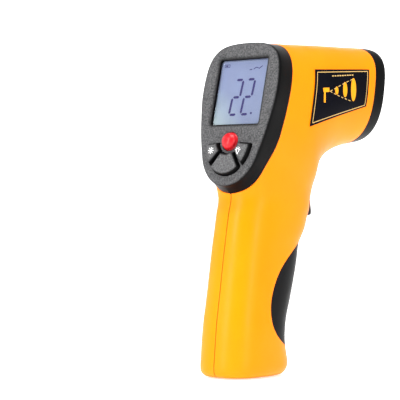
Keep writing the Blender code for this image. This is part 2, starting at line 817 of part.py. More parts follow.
def trigger():
    body = prism(SIDE, TRIGGER_OUTLINE, -TRIGGER_HALF_WIDTH, TRIGGER_HALF_WIDTH)
    body = bevelled(body, 0.6, 2)
    pin_hole = cross_rod(*TRIGGER_PIVOT, -10, 10, 1.3, 20)
    notch = box(SIDE, (-6.0, 82.5, -2.1), (6.6, 92.0, 2.1))
    return carve(body, [notch, pin_hole])


finish("trigger", trigger(), (0.07, 0.07, 0.075), 0.5)
finish("trigger_pin", cross_rod(*TRIGGER_PIVOT, -8.0, 8.0, 1.0, 16), STEEL, 0.3, 1.0)

SPRING_RADIUS = 1.9
spring_path = []
spring_turns = 3
for i in range(spring_turns * 12 + 1):
    spin = math.pi + 2 * math.pi * i / 12
    place = Vector((-1.2 + 2.4 * i / (spring_turns * 12), 0, 0))
    place.y = TRIGGER_PIVOT[0] + SPRING_RADIUS * math.cos(spin)
    place.z = TRIGGER_PIVOT[1] + SPRING_RADIUS * math.sin(spin)
    spring_path.append(place)
spring_path.insert(0, spring_path[0] + Vector((0, -3.2, -2.0)))
spring_path.append(spring_path[-1] + Vector((0, -3.6, 0.8)))
finish("trigger_spring", tube(spring_path, 0.3, 3, smooth=False), STEEL, 0.3, 1.0)

switch = box(SIDE, (-13.0, 71.0, -4.0), (-6.5, 79.0, 4.0))
bore = turned(ALONG_Y, (0, -75.0), ((-9.5, 1.3), (-5.0, 1.3)), 16)
finish("trigger_switch", carve(switch, [bore]), (0.05, 0.05, 0.05), 0.5)
plunger = turned(ALONG_Y, (0, -75.0), ((-7.2, 0.95), (-3.8, 0.95), (-3.3, 0.6)), 16)
finish("switch_plunger", plunger, (0.75, 0.12, 0.08), 0.5)


# ---------------------------------------------------------------- battery door


def door_skin():
    """Handle skin of the door's thickness, as a tube open at both ends."""
    outer = body_loops(17, 29, 14, 0.5)
    inner = body_loops(17, 29, 14, 0.5, DOOR_WALL)
    return loft(outer + inner[::-1], closed=True)


def battery_door():
    skin = door_skin()
    skin = carve(skin, [prism(SIDE, DOOR_OUTLINE, -25, 25)], "INTERSECT")
    axis_y, axis_z = DOOR_AXIS
    knuckle = cross_rod(axis_y, axis_z, -KNUCKLE_HALF_WIDTH, KNUCKLE_HALF_WIDTH, 1.45, 20)
    web_low = (axis_y, axis_z - 1.4, -KNUCKLE_HALF_WIDTH)
    web_high = (axis_y + 2.2, axis_z + 1.0, KNUCKLE_HALF_WIDTH)
    web = box(SIDE, web_low, web_high)
    skin = carve(skin, [cross_rod(axis_y, axis_z, -4.7, 4.7, 1.8, 20)])
    skin = carve(skin, [knuckle, web], "UNION")
    return carve(skin, [cross_rod(axis_y, axis_z, -8, 8, 0.58, 16)])


def door_tab():
    skin = door_skin()
    block = box(SIDE, (-30, TAB_LOW, -TAB_HALF_WIDTH), (10, TAB_HIGH, TAB_HALF_WIDTH))
    return carve(skin, [block], "INTERSECT")


finish("battery_door", battery_door(), (0.03, 0.03, 0.032), 0.55)
finish("door_tab", door_tab(), (0.12, 0.12, 0.14), 0.4)
finish("door_pin", cross_rod(*DOOR_AXIS, -4.2, 4.2, 0.5, 12), STEEL, 0.3, 1.0)


# ---------------------------------------------------------------- cells and contacts

TRAY_LOW = -3.4
TRAY_HIGH = CELL_LENGTH + 3.2
TRAY_BACK = -7.0
TRAY_FRONT = -2.5
TRAY_HALF_WIDTH = 11.4
TRAY_WALL = 0.6

tray = box(CELLS, (-TRAY_HALF_WIDTH, TRAY_LOW, TRAY_BACK), (TRAY_HALF_WIDTH, TRAY_HIGH, TRAY_FRONT))
trough = box(
    CELLS,
    (-TRAY_HALF_WIDTH + TRAY_WALL, TRAY_LOW + TRAY_WALL, TRAY_BACK + 1.4),
    (TRAY_HALF_WIDTH - TRAY_WALL, TRAY_HIGH - TRAY_WALL, 5),
)
finish("battery_tray", carve(tray, [trough]), (0.04, 0.04, 0.04), 0.6)


def cell(side, flipped):
    """One AAA cell along the handle, with its raised end up, or down where flipped."""
    body_end = CELL_LENGTH - 1.0
    profile = [(0, 4.4), (0.5, CELL_RADIUS), (body_end - 0.5, CELL_RADIUS), (body_end, 4.4)]
    profile += [(body_end, 1.9), (CELL_LENGTH, 1.9)]
    if flipped:
        profile = [(CELL_LENGTH - h, r) for h, r in profile]
    return turned(UP_CELLS, (side * CELL_OFFSET, 0), profile, 20)


CELL_TONE = (0.55, 0.42, 0.18)
finish("cell_left", cell(-1, False), CELL_TONE, 0.35, 0.4)
finish("cell_right", cell(1, True), CELL_TONE, 0.35, 0.4)
for place_name, side, low in (("lower", -1, True), ("upper", 1, False)):
    start = -1.75 if low else CELL_LENGTH + 0.65
    spiral = coil(UP_CELLS, (side * CELL_OFFSET, 0), start, start + 1.1, 3.0, 0.3, 2)
    finish("contact_spring_" + place_name, spiral, STEEL, 0.25, 1.0)
for place_name, side, low in (("lower", 1, True), ("upper", -1, False)):
    start = -1.6 if low else CELL_LENGTH + 0.6
    x = side * CELL_OFFSET
    plate = box(UP_CELLS, (x - 3.8, -3.8, start), (x + 3.8, 2.6, start + 0.6))
    finish("contact_plate_" + place_name, plate, STEEL, 0.25, 1.0)


# ---------------------------------------------------------------- screws and wires


def case_screw(y, z):
    """Screw along X, with its head on the -X side."""
    head = ((-HEAD_X - 1.7, 2.1), (-HEAD_X - 1.3, 2.5), (-HEAD_X, 2.5), (-HEAD_X, 1.2))
    profile = (*head, (8.0, 1.2), (9.5, 0.5))
    body = turned(SIDE, (y, z), profile, 16)
    slot = [box(SIDE, (y - 0.4, z - 1.7, -30), (y + 0.4, z + 1.7, -HEAD_X - 0.9))]
    slot.append(box(SIDE, (y - 1.7, z - 0.4, -30), (y + 1.7, z + 0.4, -HEAD_X - 0.9)))
    return carve(body, slot)


for screw_name, (screw_y, screw_z) in SCREWS.items():
    finish(screw_name, case_screw(screw_y, screw_z), STEEL, 0.3, 1.0)

WIRES = {
    "battery_wire_red": ((3.0, -19.5, 62.4), (4.0, -22.0, 68.0), (6.0, -28.5, 80.0), (6.5, -30.5, 92.0)),
    "battery_wire_black": (
        (-3.0, -19.5, 62.4),
        (-4.0, -22.0, 68.0),
        (-6.0, -28.5, 80.0),
        (-6.5, -30.5, 92.0),
    ),
    "sensor_wire": ((6.0, 23.0, 126.0), (11.0, 8.0, 136.0), (11.0, -8.0, 130.0), (8.0, -21.0, 122.0)),
    "laser_wire": ((0.0, 33.2, 142.2), (3.0, 18.0, 141.4), (6.0, -4.0, 137.4), (6.0, -16.6, 133.0)),
    "switch_wire": ((2.5, -14.2, 76.5), (3.5, -17.4, 84.0), (3.0, -22.0, 96.0), (2.0, -25.8, 103.0)),
}
WIRE_TONES = {
    "battery_wire_red": (0.6, 0.02, 0.02),
    "battery_wire_black": (0.02, 0.02, 0.02),
    "sensor_wire": (0.7, 0.7, 0.7),
    "laser_wire": (0.6, 0.05, 0.02),
    "switch_wire": (0.05, 0.1, 0.5),
}
for wire_name, path in WIRES.items():
    finish(wire_name, tube([Vector(p) for p in path], 0.6, 4), WIRE_TONES[wire_name], 0.5)


# ---------------------------------------------------------------- joint axes


def put_origin(name, spot):
    """Moves an object's origin to a joint axis without moving its shape."""
    part = bpy.data.objects[name]
    spot = Vector(spot) * MM
    part.data.transform(Matrix.Translation(-spot))
    part.location = spot


put_origin("trigger", (0, *TRIGGER_PIVOT))
put_origin("trigger_spring", (0, *TRIGGER_PIVOT))
put_origin("battery_door", (0, *DOOR_AXIS))
put_origin("door_tab", (0, *DOOR_AXIS))
put_origin("switch_plunger", (0, -3.3, 75.0))
for key_name in (*KEY_ARCS, "red_key"):
    put_origin(key_name, PANEL @ Vector((*KEYS_CENTRE, 0)))
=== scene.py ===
"""Looks of the pistol-grip infrared thermometer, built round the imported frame.

Shapes are drawn in millimetres, and put() scales them to metres. +Z is up, and the nose points to +Y.
"""

import math
from math import cos, pi, radians, sin

import bmesh
import bpy
from mathutils import Matrix, Vector


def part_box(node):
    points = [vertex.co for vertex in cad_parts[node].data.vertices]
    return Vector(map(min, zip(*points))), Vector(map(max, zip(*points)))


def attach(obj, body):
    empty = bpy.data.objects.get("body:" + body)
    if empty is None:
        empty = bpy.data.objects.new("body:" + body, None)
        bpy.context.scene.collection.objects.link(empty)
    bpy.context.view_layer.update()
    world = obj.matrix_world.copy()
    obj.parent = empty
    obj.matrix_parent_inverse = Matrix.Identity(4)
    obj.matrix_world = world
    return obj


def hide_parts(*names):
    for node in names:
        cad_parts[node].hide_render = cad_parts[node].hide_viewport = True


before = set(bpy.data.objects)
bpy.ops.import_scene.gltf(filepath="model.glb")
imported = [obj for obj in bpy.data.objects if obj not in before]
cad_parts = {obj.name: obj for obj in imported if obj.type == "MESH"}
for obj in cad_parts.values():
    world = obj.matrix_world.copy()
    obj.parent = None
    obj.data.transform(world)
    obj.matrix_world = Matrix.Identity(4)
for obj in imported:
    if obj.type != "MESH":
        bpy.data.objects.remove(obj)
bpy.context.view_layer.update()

MM = 0.001
# The clearance between pieces
GAP = 0.3
# How finely surfaces are divided
FINE = 2

# ---- dimensions

# Underside or front edge (y, z), top or back edge (y, z), half width, roundness at each edge, widest place
SECTIONS = (
    (47.0, 104.6, 52.3, 146.6, 17.0, 2.5, 2.8, 0.60),
    (45.8, 103.6, 51.2, 147.3, 17.9, 2.6, 2.8, 0.60),
    (43.2, 103.0, 48.6, 147.5, 18.2, 2.6, 2.8, 0.60),
    (37.0, 102.2, 43.2, 147.3, 18.4, 2.6, 2.8, 0.60),
    (29.6, 100.6, 33.0, 146.9, 18.6, 2.4, 2.8, 0.58),
    (23.0, 98.4, 22.0, 146.5, 18.8, 2.2, 2.9, 0.57),
    (17.6, 95.8, 11.0, 146.1, 18.9, 2.1, 2.9, 0.56),
    (13.8, 93.2, 0.0, 145.6, 19.0, 2.1, 2.9, 0.55),
    (11.7, 90.9, -10.0, 145.1, 19.2, 2.1, 2.9, 0.55),
    (10.4, 88.8, -19.5, 144.5, 19.4, 2.1, 3.0, 0.55),
    (9.6, 86.9, -28.5, 141.0, 19.5, 2.2, 3.8, 0.55),
    (9.1, 85.0, -34.8, 132.0, 19.5, 2.2, 6.0, 0.55),
    (8.7, 83.0, -38.0, 121.5, 19.0, 2.2, 6.0, 0.55),
    (8.2, 81.0, -41.0, 110.0, 17.9, 2.2, 6.0, 0.55),
    (7.6, 78.5, -42.8, 98.0, 16.4, 2.3, 3.2, 0.55),
    (6.4, 75.0, -42.4, 87.0, 15.6, 2.4, 2.8, 0.54),
    (5.2, 71.5, -40.6, 77.5, 15.2, 2.5, 2.6, 0.52),
    (3.6, 68.0, -42.2, 70.5, 15.0, 2.5, 2.6, 0.50),
)
# From here down the roundness stays the same
SECTIONS += tuple(
    (*row, 2.6, 2.6, 0.50)
    for row in (
        (1.8, 64.0, -43.5, 63.5, 14.9),
        (-1.0, 60.0, -44.6, 57.5, 14.8),
        (-2.9, 57.0, -45.3, 53.5, 14.7),
        (-4.3, 49.7, -46.3, 47.5, 14.7),
        (-6.1, 43.0, -47.3, 41.0, 14.7),
        (-9.2, 33.0, -48.8, 31.5, 14.7),
        (-11.8, 26.0, -49.9, 25.0, 14.8),
        (-13.1, 20.0, -50.6, 19.0, 15.0),
        (-13.2, 15.0, -51.1, 14.0, 15.1),
        (-12.2, 10.0, -51.5, 9.0, 15.2),
        (-11.3, 6.0, -51.9, 5.0, 15.3),
        (-11.8, 3.3, -51.6, 2.2, 15.0),
        (-13.7, 0.9, -49.9, 0.5, 13.6),
        (-16.5, 0.0, -47.6, 0.0, 11.2),
    )
)
# Rows of SECTIONS: where the nose cap ends, where the hollow ends, and the handle's first and last
NOSE_ROW = 3
FLOOR_ROW = 29
HANDLE_ROWS = (17, FLOOR_ROW)
WALL = 2.4

# Side view (y, z)
SURROUND_EDGE = (
    (-15.6, 153.0), (-29.3, 103.0), (-31.1, 98.1), (-33.2, 93.4), (-35.8, 88.0), (-38.2, 83.0),
    (-41.0, 78.4), (-44.5, 74.0),
)
SURROUND_TOP = 144.6
SURROUND_BOTTOM = 78.6

PANEL_CENTRE = (0.0, -39.6, 108.0)
PANEL_TILT = radians(13.8)
# The right half, in the panel's own frame, from top to bottom
PANEL_OUTLINE = (
    (0.0, 37.9), (8.0, 37.5), (13.8, 35.9), (17.8, 32.5), (20.0, 27.4), (20.9, 20.0), (20.8, 12.0),
    (19.6, 4.0), (18.2, -3.5), (16.5, -10.0), (14.2, -17.0), (10.6, -22.2), (5.7, -25.6), (0.0, -26.8),
)
PANEL_WALL = 2.2

WINDOW_HALF_WIDTH = 13.2
WINDOW_LOW = 0.9
WINDOW_HIGH = 30.4
WINDOW_RECESS = 1.6

KEYS_CENTRE = (0.0, -7.0)
RED_KEY_RADIUS = 4.0
KEY_INNER_RADIUS = 5.7
KEYS_HALF_WIDTH = 12.4
KEYS_HALF_HEIGHT = 15.2
KEY_TOP = 2.2
KEY_DEPTH = 3.0
# The angles between which each dark key lies, round the red key
KEY_ARCS = {"light_key": (-50, -6), "mode_key": (-124, -56), "laser_key": (-174, -130)}

NOSE_CENTRE = (0.0, 50.1, 128.0)
NOSE_LEAN = radians(7.2)
SIGHT_UP = -4.1
SIGHT_RADIUS = 8.1
LASER_UP = 11.3
LASER_RADIUS = 3.3

TRIGGER_HALF_WIDTH = 5.0
TRIGGER_OUTLINE = (
    (7.7, 88.4), (8.5, 83.0), (9.3, 78.0), (10.3, 71.2), (10.2, 69.9), (9.2, 69.3), (2.2, 68.4),
    (-2.6, 69.6), (-3.4, 80.0), (-0.8, 87.4), (2.5, 88.8),
)
TRIGGER_PIVOT = (3.5, 86.0)

DOOR_AXIS = (-5.2, 57.6)
DOOR_WALL = 1.7
DOOR_OUTLINE = (
    (6.0, 59.6), (-2.0, 59.0), (-8.7, 57.3), (-16.0, 53.2), (-21.5, 48.9), (-25.7, 44.3), (-28.6, 39.3),
    (-30.6, 34.0), (-31.2, 28.6), (-30.2, 22.9), (-27.0, 18.0), (-21.4, 14.2), (-15.2, 12.1),
    (-9.0, 11.0), (6.0, 10.8),
)
TAB_HALF_WIDTH = 4.7
TAB_LOW = 1.8
TAB_HIGH = 10.9

# Label corners in side view (y, z): front top, rear top, rear low, front low
LABEL_CORNERS = ((35.8, 136.0), (-5.2, 133.5), (-10.6, 108.2), (33.5, 119.0))

# ---- meshes

WELD = 0.002


def assign(thing, **settings):
    """Sets several properties at once."""
    for key, value in settings.items():
        setattr(thing, key, value)


def mesh_of(points, faces):
    """A mesh whose faces all look outwards."""
    mesh = bpy.data.meshes.new("shape")
    mesh.from_pydata([tuple(point) for point in points], [], faces)
    shape = bmesh.new()
    shape.from_mesh(mesh)
    bmesh.ops.recalc_face_normals(shape, faces=shape.faces)
    if shape.calc_volume(signed=True) < 0:
        bmesh.ops.reverse_faces(shape, faces=shape.faces)
    shape.to_mesh(mesh)
    shape.free()
    return mesh


def loft(loops, closed=False):
    """Skins a row of loops, and caps its ends or, when closed, joins them."""
    count = len(loops[0])
    points = [point for loop in loops for point in loop]
    faces = []
    for k in range(len(loops) if closed else len(loops) - 1):
        here = k * count
        there = (k + 1) % len(loops) * count
        for i in range(count):
            j = (i + 1) % count
            faces.append((here + i, here + j, there + j, there + i))
    if not closed:
        faces.append(tuple(range(count)))
        faces.append(tuple(range((len(loops) - 1) * count, len(loops) * count)))
    return mesh_of(points, faces)


def tidied(mesh, merge=0.0):
    """The mesh in triangles, with points nearer than the merge distance made one."""
    shape = bmesh.new()
    shape.from_mesh(mesh)
    if merge:
        bmesh.ops.remove_doubles(shape, verts=shape.verts, dist=merge)
        bmesh.ops.dissolve_degenerate(shape, edges=shape.edges, dist=merge)
    bmesh.ops.triangulate(shape, faces=shape.faces)
    shape.to_mesh(mesh)
    shape.free()
    return mesh


def linked(name, data):
    part = bpy.data.objects.new(name, data)
    bpy.context.scene.collection.objects.link(part)
    return part


def baked_mesh(part):
    """The object's mesh with its modifiers applied. The object is removed."""
    graph = bpy.context.evaluated_depsgraph_get()
    mesh = bpy.data.meshes.new_from_object(part.evaluated_get(graph))
    bpy.data.objects.remove(part)
    return mesh


def carve(mesh, tools, operation="DIFFERENCE"):
    """Cuts each tool from the mesh in turn, or joins it, or keeps what the two share."""
    for tool in tools:
        base = linked("base", tidied(mesh))
        cutter = linked("cutter", tidied(tool))
        assign(base.modifiers.new("carve", "BOOLEAN"), operation=operation, solver="EXACT", object=cutter)
        mesh = baked_mesh(base)
        bpy.data.objects.remove(cutter)
        tidied(mesh, WELD)
    return mesh


def frame_matrix(origin, across, up):
    """Columns: across, up, and their cross product, at the origin."""
    across = Vector(across).normalized()
    up = Vector(up).normalized()
    matrix = Matrix((across, up, across.cross(up))).transposed().to_4x4()
    matrix.translation = Vector(origin)
    return matrix


SIDE = frame_matrix((0, 0, 0), (0, 1, 0), (0, 0, 1))
PANEL = frame_matrix(PANEL_CENTRE, (1, 0, 0), (0, sin(PANEL_TILT), cos(PANEL_TILT)))
NOSE = frame_matrix(NOSE_CENTRE, (-1, 0, 0), (0, sin(NOSE_LEAN), cos(NOSE_LEAN)))


def in_frame(matrix, outline, height):
    return [matrix @ Vector((a, b, height)) for a, b in outline]


def prism(matrix, outline, low, high):
    return loft([in_frame(matrix, outline, low), in_frame(matrix, outline, high)])


def through(outline, half):
    """A prism of a side-view outline (y, z), equally far to the left and to the right."""
    return prism(SIDE, outline, -half, half)


def box(near, far, low, high):
    """A block between two side-view corners (y, z), from low to high along X."""
    return prism(SIDE, (near, (far[0], near[1]), far, (near[0], far[1])), low, high)


def ring(centre, radius, sides):
    turn = 2 * pi / sides
    return [
        (centre[0] + radius * cos(i * turn), centre[1] + radius * sin(i * turn))
        for i in range(sides)
    ]


def turned(matrix, centre, profile, sides=24):
    """A round solid from a profile of (height, radius)."""
    return loft([in_frame(matrix, ring(centre, radius, sides), height) for height, radius in profile])


def cross_rod(y, z, low, high, radius, sides=24):
    return turned(SIDE, (y, z), ((low, radius), (high, radius)), sides)


def corners_of(outline):
    """Each corner of an outline, between the one before it and the one after it."""
    points = [Vector(point) for point in outline]
    return list(zip(points[-1:] + points[:-1], points, points[1:] + points[:1]))


def grown(outline, distance):
    """The outline moved outwards by a distance."""
    corners = corners_of(outline)
    turn = 1 if sum(here.x * ahead.y - ahead.x * here.y for _, here, ahead in corners) > 0 else -1
    moved = []
    for back, here, ahead in corners:
        arrive = (here - back).normalized()
        leave = (ahead - here).normalized()
        out_a = Vector((arrive.y, -arrive.x)) * turn
        out_b = Vector((leave.y, -leave.x)) * turn
        middle = (out_a + out_b).normalized()
        # However sharp the corner is, it moves at most 2.5 times the distance
        moved.append(tuple(here + middle * (distance / max(0.4, middle.dot(out_a)))))
    return moved


def rounded(outline, radius, steps, least=12.0):
    """The outline with its corners rounded, where they turn by more than the least angle."""
    found = []
    for before, here, after in corners_of(outline):
        back = before - here
        ahead = after - here
        turn = pi - back.angle(ahead)
        if turn < radians(least):
            found.append(tuple(here))
            continue
        # A corner takes up at most 45 % of each edge beside it
        reach = min(radius * math.tan(turn / 2), 0.45 * back.length, 0.45 * ahead.length)
        start = here + back.normalized() * reach
        end = here + ahead.normalized() * reach
        for k in range(steps + 1):
            t = k / steps
            found.append(tuple(start * (1 - t) ** 2 + here * 2 * t * (1 - t) + end * t * t))
    return found


def catmull(before, start, end, after, t):
    return 0.5 * (
        2 * start
        + (end - before) * t
        + (2 * before - 5 * start + 4 * end - after) * t * t
        + (3 * start - before - 3 * end + after) * t**3
    )


def between(knots, t):
    """The place between the second and third of four knots."""
    return tuple(catmull(*values, t) for values in zip(*knots))


def knots_at(rows, index):
    """The four rows round one stretch of a list. Its end rows repeat beyond its ends."""
    last = len(rows) - 1
    return [rows[max(0, min(last, index + step))] for step in (-1, 0, 1, 2)]


def closed_curve(points, steps):
    found = []
    for i in range(len(points)):
        knots = [points[(i + step) % len(points)] for step in (-1, 0, 1, 2)]
        found += [between(knots, j / steps) for j in range(steps)]
    return found


def open_curve(points, steps):
    found = []
    for i in range(len(points) - 1):
        found += [between(knots_at(points, i), j / steps) for j in range(steps)]
    return found + [points[-1]]


def bevelled(mesh, width, segments, angle=40.0):
    """Rounds the edges that turn by more than the angle."""
    shape = bmesh.new()
    shape.from_mesh(mesh)
    bmesh.ops.dissolve_limit(shape, angle_limit=radians(1), verts=shape.verts, edges=shape.edges)
    limit = radians(angle)
    edges = [e for e in shape.edges if len(e.link_faces) == 2 and e.calc_face_angle() > limit]
    bmesh.ops.bevel(
        shape, geom=edges, offset=width, segments=segments, affect="EDGES", profile=0.5, clamp_overlap=True
    )
    shape.to_mesh(mesh)
    shape.free()
    return mesh


def joined(meshes):
    """Several closed meshes as one mesh."""
    shape = bmesh.new()
    for mesh in meshes:
        shape.from_mesh(mesh)
    result = bpy.data.meshes.new("shape")
    shape.to_mesh(result)
    shape.free()
    return result


# ---- finishing a piece

SHARP_ANGLE = radians(35.0)
CUT_ANGLE = radians(38.0)


def put(name, mesh, material, body, replaced=(), weighted=True):
    """Scales the mesh to metres, and makes it a piece with its material and body."""
    mesh.transform(Matrix.Scale(MM, 4))
    mesh.name = name
    piece = linked(name, mesh)
    mesh.materials.clear()
    mesh.materials.append(material)
    if weighted:
        mesh.shade_smooth()
        mesh.set_sharp_from_angle(angle=SHARP_ANGLE)
        assign(piece.modifiers.new("even_normals", "WEIGHTED_NORMAL"), keep_sharp=True, weight=80)
    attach(piece, body)
    if replaced:
        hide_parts(*replaced)


def shaded_like(mesh, reference):
    """Takes the normals of an uncut surface where the mesh follows it, so that cuts leave no facets."""
    mesh.shade_smooth()
    source = linked("reference", reference)
    reference.shade_smooth()
    piece = linked("cut", mesh)
    step = piece.modifiers.new("normals", "DATA_TRANSFER")
    assign(step, object=source, use_loop_data=True)
    assign(step, data_types_loops={"CUSTOM_NORMAL"}, loop_mapping="POLYINTERP_NEAREST")
    smooth = baked_mesh(piece)
    bpy.data.objects.remove(source)
    normals = [Vector(corner.vector) for corner in smooth.corner_normals]
    for polygon in smooth.polygons:
        flat = polygon.normal.copy()
        for corner in polygon.loop_indices:
            if normals[corner].angle(flat, pi) > CUT_ANGLE:
                normals[corner] = flat
    smooth.normals_split_custom_set(normals)
    return smooth


# ---- materials

# Painted shade in the seam of the case: much less red than the plastic, and a little less green
SEAM_PAINTED_SHADE = (0.42, 0.172, 0.002)
# Painted light: the grey of the lit front faces and key tops. The sides' near black is the plastic's own
# colour
FACE_LIT_GREY = (0.060, 0.060, 0.062)
KEY_TOP_LIT_GREY = (0.080, 0.080, 0.082)
SIDE_TONE = (0.003, 0.003, 0.0032)
DISPLAY_TOP = (0.195, 0.23, 0.36)
DISPLAY_LOW = (0.20, 0.235, 0.34)
DISPLAY_CORNER = (0.38, 0.47, 0.44)
DISPLAY_GREY = (0.20, 0.23, 0.32)
CELL_COPPER = ((0.58, 0.28, 0.075), (0.54, 0.26, 0.07))
CELL_BLACK = ((0.012, 0.012, 0.014), (0.02, 0.02, 0.022))
INK_TONES = ((0.030, 0.024, 0.11), (0.038, 0.03, 0.125))
PAPER_TONES = ((0.90, 0.90, 0.90), (0.92, 0.92, 0.92))


class Nodes:
    """Short calls for building one material."""

    def __init__(self, name):
        self.material = bpy.data.materials.new(name)
        self.material.use_nodes = True
        self.tree = self.material.node_tree
        self.place = self.add("TexCoord", {}, "Object")

    def feed(self, node, inputs):
        """Sets each socket to its number or colour, or links it to another node's output."""
        for key, value in inputs.items():
            socket = node.inputs[key]
            if isinstance(value, bpy.types.NodeSocket):
                self.tree.links.new(value, socket)
            else:
                socket.default_value = (*value, 1.0) if socket.type == "RGBA" else value

    def add(self, kind, inputs, output=0, **settings):
        """Makes a node, and gives one of its outputs."""
        node = self.tree.nodes.new("ShaderNode" + kind)
        assign(node, **settings)
        self.feed(node, inputs)
        return node.outputs[output]

    def finished(self, **inputs):
        """The material, with these inputs on its shader."""
        sockets = {key.replace("_", " "): value for key, value in inputs.items()}
        self.feed(self.tree.nodes["Principled BSDF"], sockets)
        return self.material

    def noise(self, size_mm, detail=3.0, rough=0.5, stretch=None):
        place = self.place
        if stretch:
            place = self.add("Mapping", {"Vector": place, "Scale": stretch})
        inputs = {"Vector": place, "Scale": 1 / (size_mm * MM), "Detail": detail, "Roughness": rough}
        return self.add("TexNoise", inputs, "Fac")

    def spread(self, value, low, high, to_low=0.0, to_high=1.0):
        """Maps one range of values to another, and holds what is beyond its ends."""
        inputs = {"Value": value, "From Min": low, "From Max": high, "To Min": to_low, "To Max": to_high}
        return self.add("MapRange", inputs, "Result")

    def mixed(self, share, first, second):
        """The first colour where the share is 0, and the second where it is 1."""
        return self.add("Mix", {"Factor": share, 6: first, 7: second}, 2, data_type="RGBA")

    def times(self, first, second):
        return self.add("Math", {0: first, 1: second}, operation="MULTIPLY")

    def dot(self, first, second):
        return self.add("VectorMath", {0: first, 1: second}, "Value", operation="DOT_PRODUCT")

    def along(self, direction):
        """How far a place on the surface is along a direction."""
        return self.dot(self.place, direction)

    def edge_mask(self, radius_mm):
        """How far an edge is from flat, from 0 to 1."""
        bevel = self.add("Bevel", {"Radius": radius_mm * MM}, samples=4)
        return self.spread(self.dot(bevel, self.add("NewGeometry", {}, "Normal")), 0.97, 0.75)

    def near_middle(self, inner_mm, outer_mm):
        """1 near the object's middle plane, where the seam's painted shade goes, and 0 beyond it."""
        away = self.add("Math", {0: self.along((1, 0, 0))}, operation="ABSOLUTE")
        return self.spread(away, inner_mm * MM, outer_mm * MM, 1.0, 0.0)

    def bump(self, height, strength, depth_mm):
        return self.add("Bump", {"Strength": strength, "Distance": depth_mm * MM, "Height": height}, "Normal")


def darker(colour, share):
    return tuple(part * share for part in colour)


def lighter(colour, share):
    return tuple(part + (1 - part) * share for part in colour)


def moulded(name, colour, roughness, grain_mm, grain, depth_mm, tint, wear, specular, seam=False):
    """Moulded plastic or rubber: fine grain, faint colour drift, and edges rubbed a little lighter."""
    nodes = Nodes(name)
    drift = nodes.noise(22.0, 2.0)
    speck = nodes.noise(grain_mm * 2.2, 2.0, 0.6)
    base = nodes.mixed(nodes.spread(drift, 0.35, 0.65), darker(colour, 1 - tint), colour)
    base = nodes.mixed(nodes.spread(speck, 0.35, 0.7, 0.0, 0.35), base, darker(colour, 1 - 1.6 * tint))
    worn = nodes.times(nodes.edge_mask(0.5), nodes.spread(nodes.noise(3.0), 0.35, 0.65, 0.2, 1.0))
    base = nodes.mixed(worn, base, lighter(colour, wear))
    if seam:
        # Painted shade along the seam between the two halves
        base = nodes.mixed(nodes.near_middle(0.24, 0.36), base, SEAM_PAINTED_SHADE)
    return nodes.finished(
        Base_Color=base,
        Roughness=nodes.spread(nodes.noise(9.0), 0.3, 0.7, roughness - 0.05, roughness + 0.06),
        Specular_IOR_Level=specular,
        Normal=nodes.bump(nodes.noise(grain_mm, 3.0, 0.65), grain, depth_mm),
    )


def painted_lit_front(name, matrix, low, high, grain_mm, lit_tone):
    """Black plastic whose front face, above a height in its own frame, is textured and painted grey as
    painted light, while its sides stay near black.
    """
    nodes = Nodes(name)
    normal = matrix.to_3x3().col[2]
    origin = normal.dot(matrix.translation)
    front = nodes.spread(nodes.along(normal / MM), origin + low, origin + high)
    drift = nodes.noise(16.0, 2.0)
    speck = nodes.noise(0.7, 3.0, 0.7)
    grey = nodes.mixed(nodes.spread(drift, 0.35, 0.65), lit_tone, darker(lit_tone, 0.88))
    grey = nodes.mixed(nodes.spread(speck, 0.45, 0.70, 0.0, 0.8), grey, lighter(lit_tone, 0.08))
    grey = nodes.mixed(nodes.spread(speck, 0.47, 0.28, 0.0, 0.9), grey, darker(lit_tone, 0.5))
    side = nodes.mixed(nodes.spread(drift, 0.3, 0.7), SIDE_TONE, darker(SIDE_TONE, 0.6))
    worn = nodes.times(nodes.edge_mask(0.4), nodes.spread(nodes.noise(3.0), 0.35, 0.65, 0.0, 0.5))
    side = nodes.mixed(worn, side, lighter(SIDE_TONE, 0.02))
    texture = nodes.times(nodes.noise(grain_mm, 3.0, 0.7), nodes.spread(front, 0.0, 1.0, 0.15, 1.0))
    return nodes.finished(
        Base_Color=nodes.mixed(front, side, grey),
        Roughness=nodes.spread(front, 0.0, 1.0, 0.36, 0.62),
        Specular_IOR_Level=0.05,
        Normal=nodes.bump(texture, 0.8, 0.08),
    )


def metal(name, colour, roughness):
    """Plated or turned metal, with fine lines and slight tarnish."""
    nodes = Nodes(name)
    lines = nodes.noise(0.5, 4.0, 0.6, (1.0, 1.0, 12.0))
    tarnish = nodes.spread(nodes.noise(2.5), 0.4, 0.7, 0.0, 0.6)
    return nodes.finished(
        Base_Color=nodes.mixed(tarnish, colour, darker(colour, 0.7)),
        Roughness=nodes.spread(lines, 0.3, 0.7, roughness - 0.08, roughness + 0.1),
        Metallic=1.0,
        Normal=nodes.bump(lines, 0.2, 0.01),
    )


def clear(name, colour, roughness, ior):
    """Clear plastic or glass, with a faint haze."""
    nodes = Nodes(name)
    haze = nodes.noise(6.0)
    return nodes.finished(
        Base_Color=nodes.mixed(nodes.spread(haze, 0.4, 0.7), colour, darker(colour, 0.97)),
        Roughness=nodes.spread(haze, 0.4, 0.7, roughness, roughness + 0.05),
        Transmission_Weight=1.0,
        IOR=ior,
        Normal=nodes.bump(nodes.noise(8.0, 2.0), 0.05, 0.01),
    )


def cell_wrap():
    """A printed foil sleeve: dark above, coppery below, split at one height."""
    nodes = Nodes("cell_wrap")
    low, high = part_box("cell_left")
    split = low.z + (high.z - low.z) * 0.4
    above = nodes.spread(nodes.along((0, 0, 1)), split - 0.2 * MM, split + 0.2 * MM)
    drift = nodes.spread(nodes.noise(6.0), 0.35, 0.65)
    return nodes.finished(
        Base_Color=nodes.mixed(above, nodes.mixed(drift, *CELL_COPPER), nodes.mixed(drift, *CELL_BLACK)),
        Metallic=nodes.spread(above, 0.0, 1.0, 0.6, 0.0),
        Roughness=nodes.spread(nodes.noise(3.0), 0.3, 0.7, 0.22, 0.34),
        Normal=nodes.bump(nodes.noise(1.5, 2.0), 0.1, 0.01),
    )


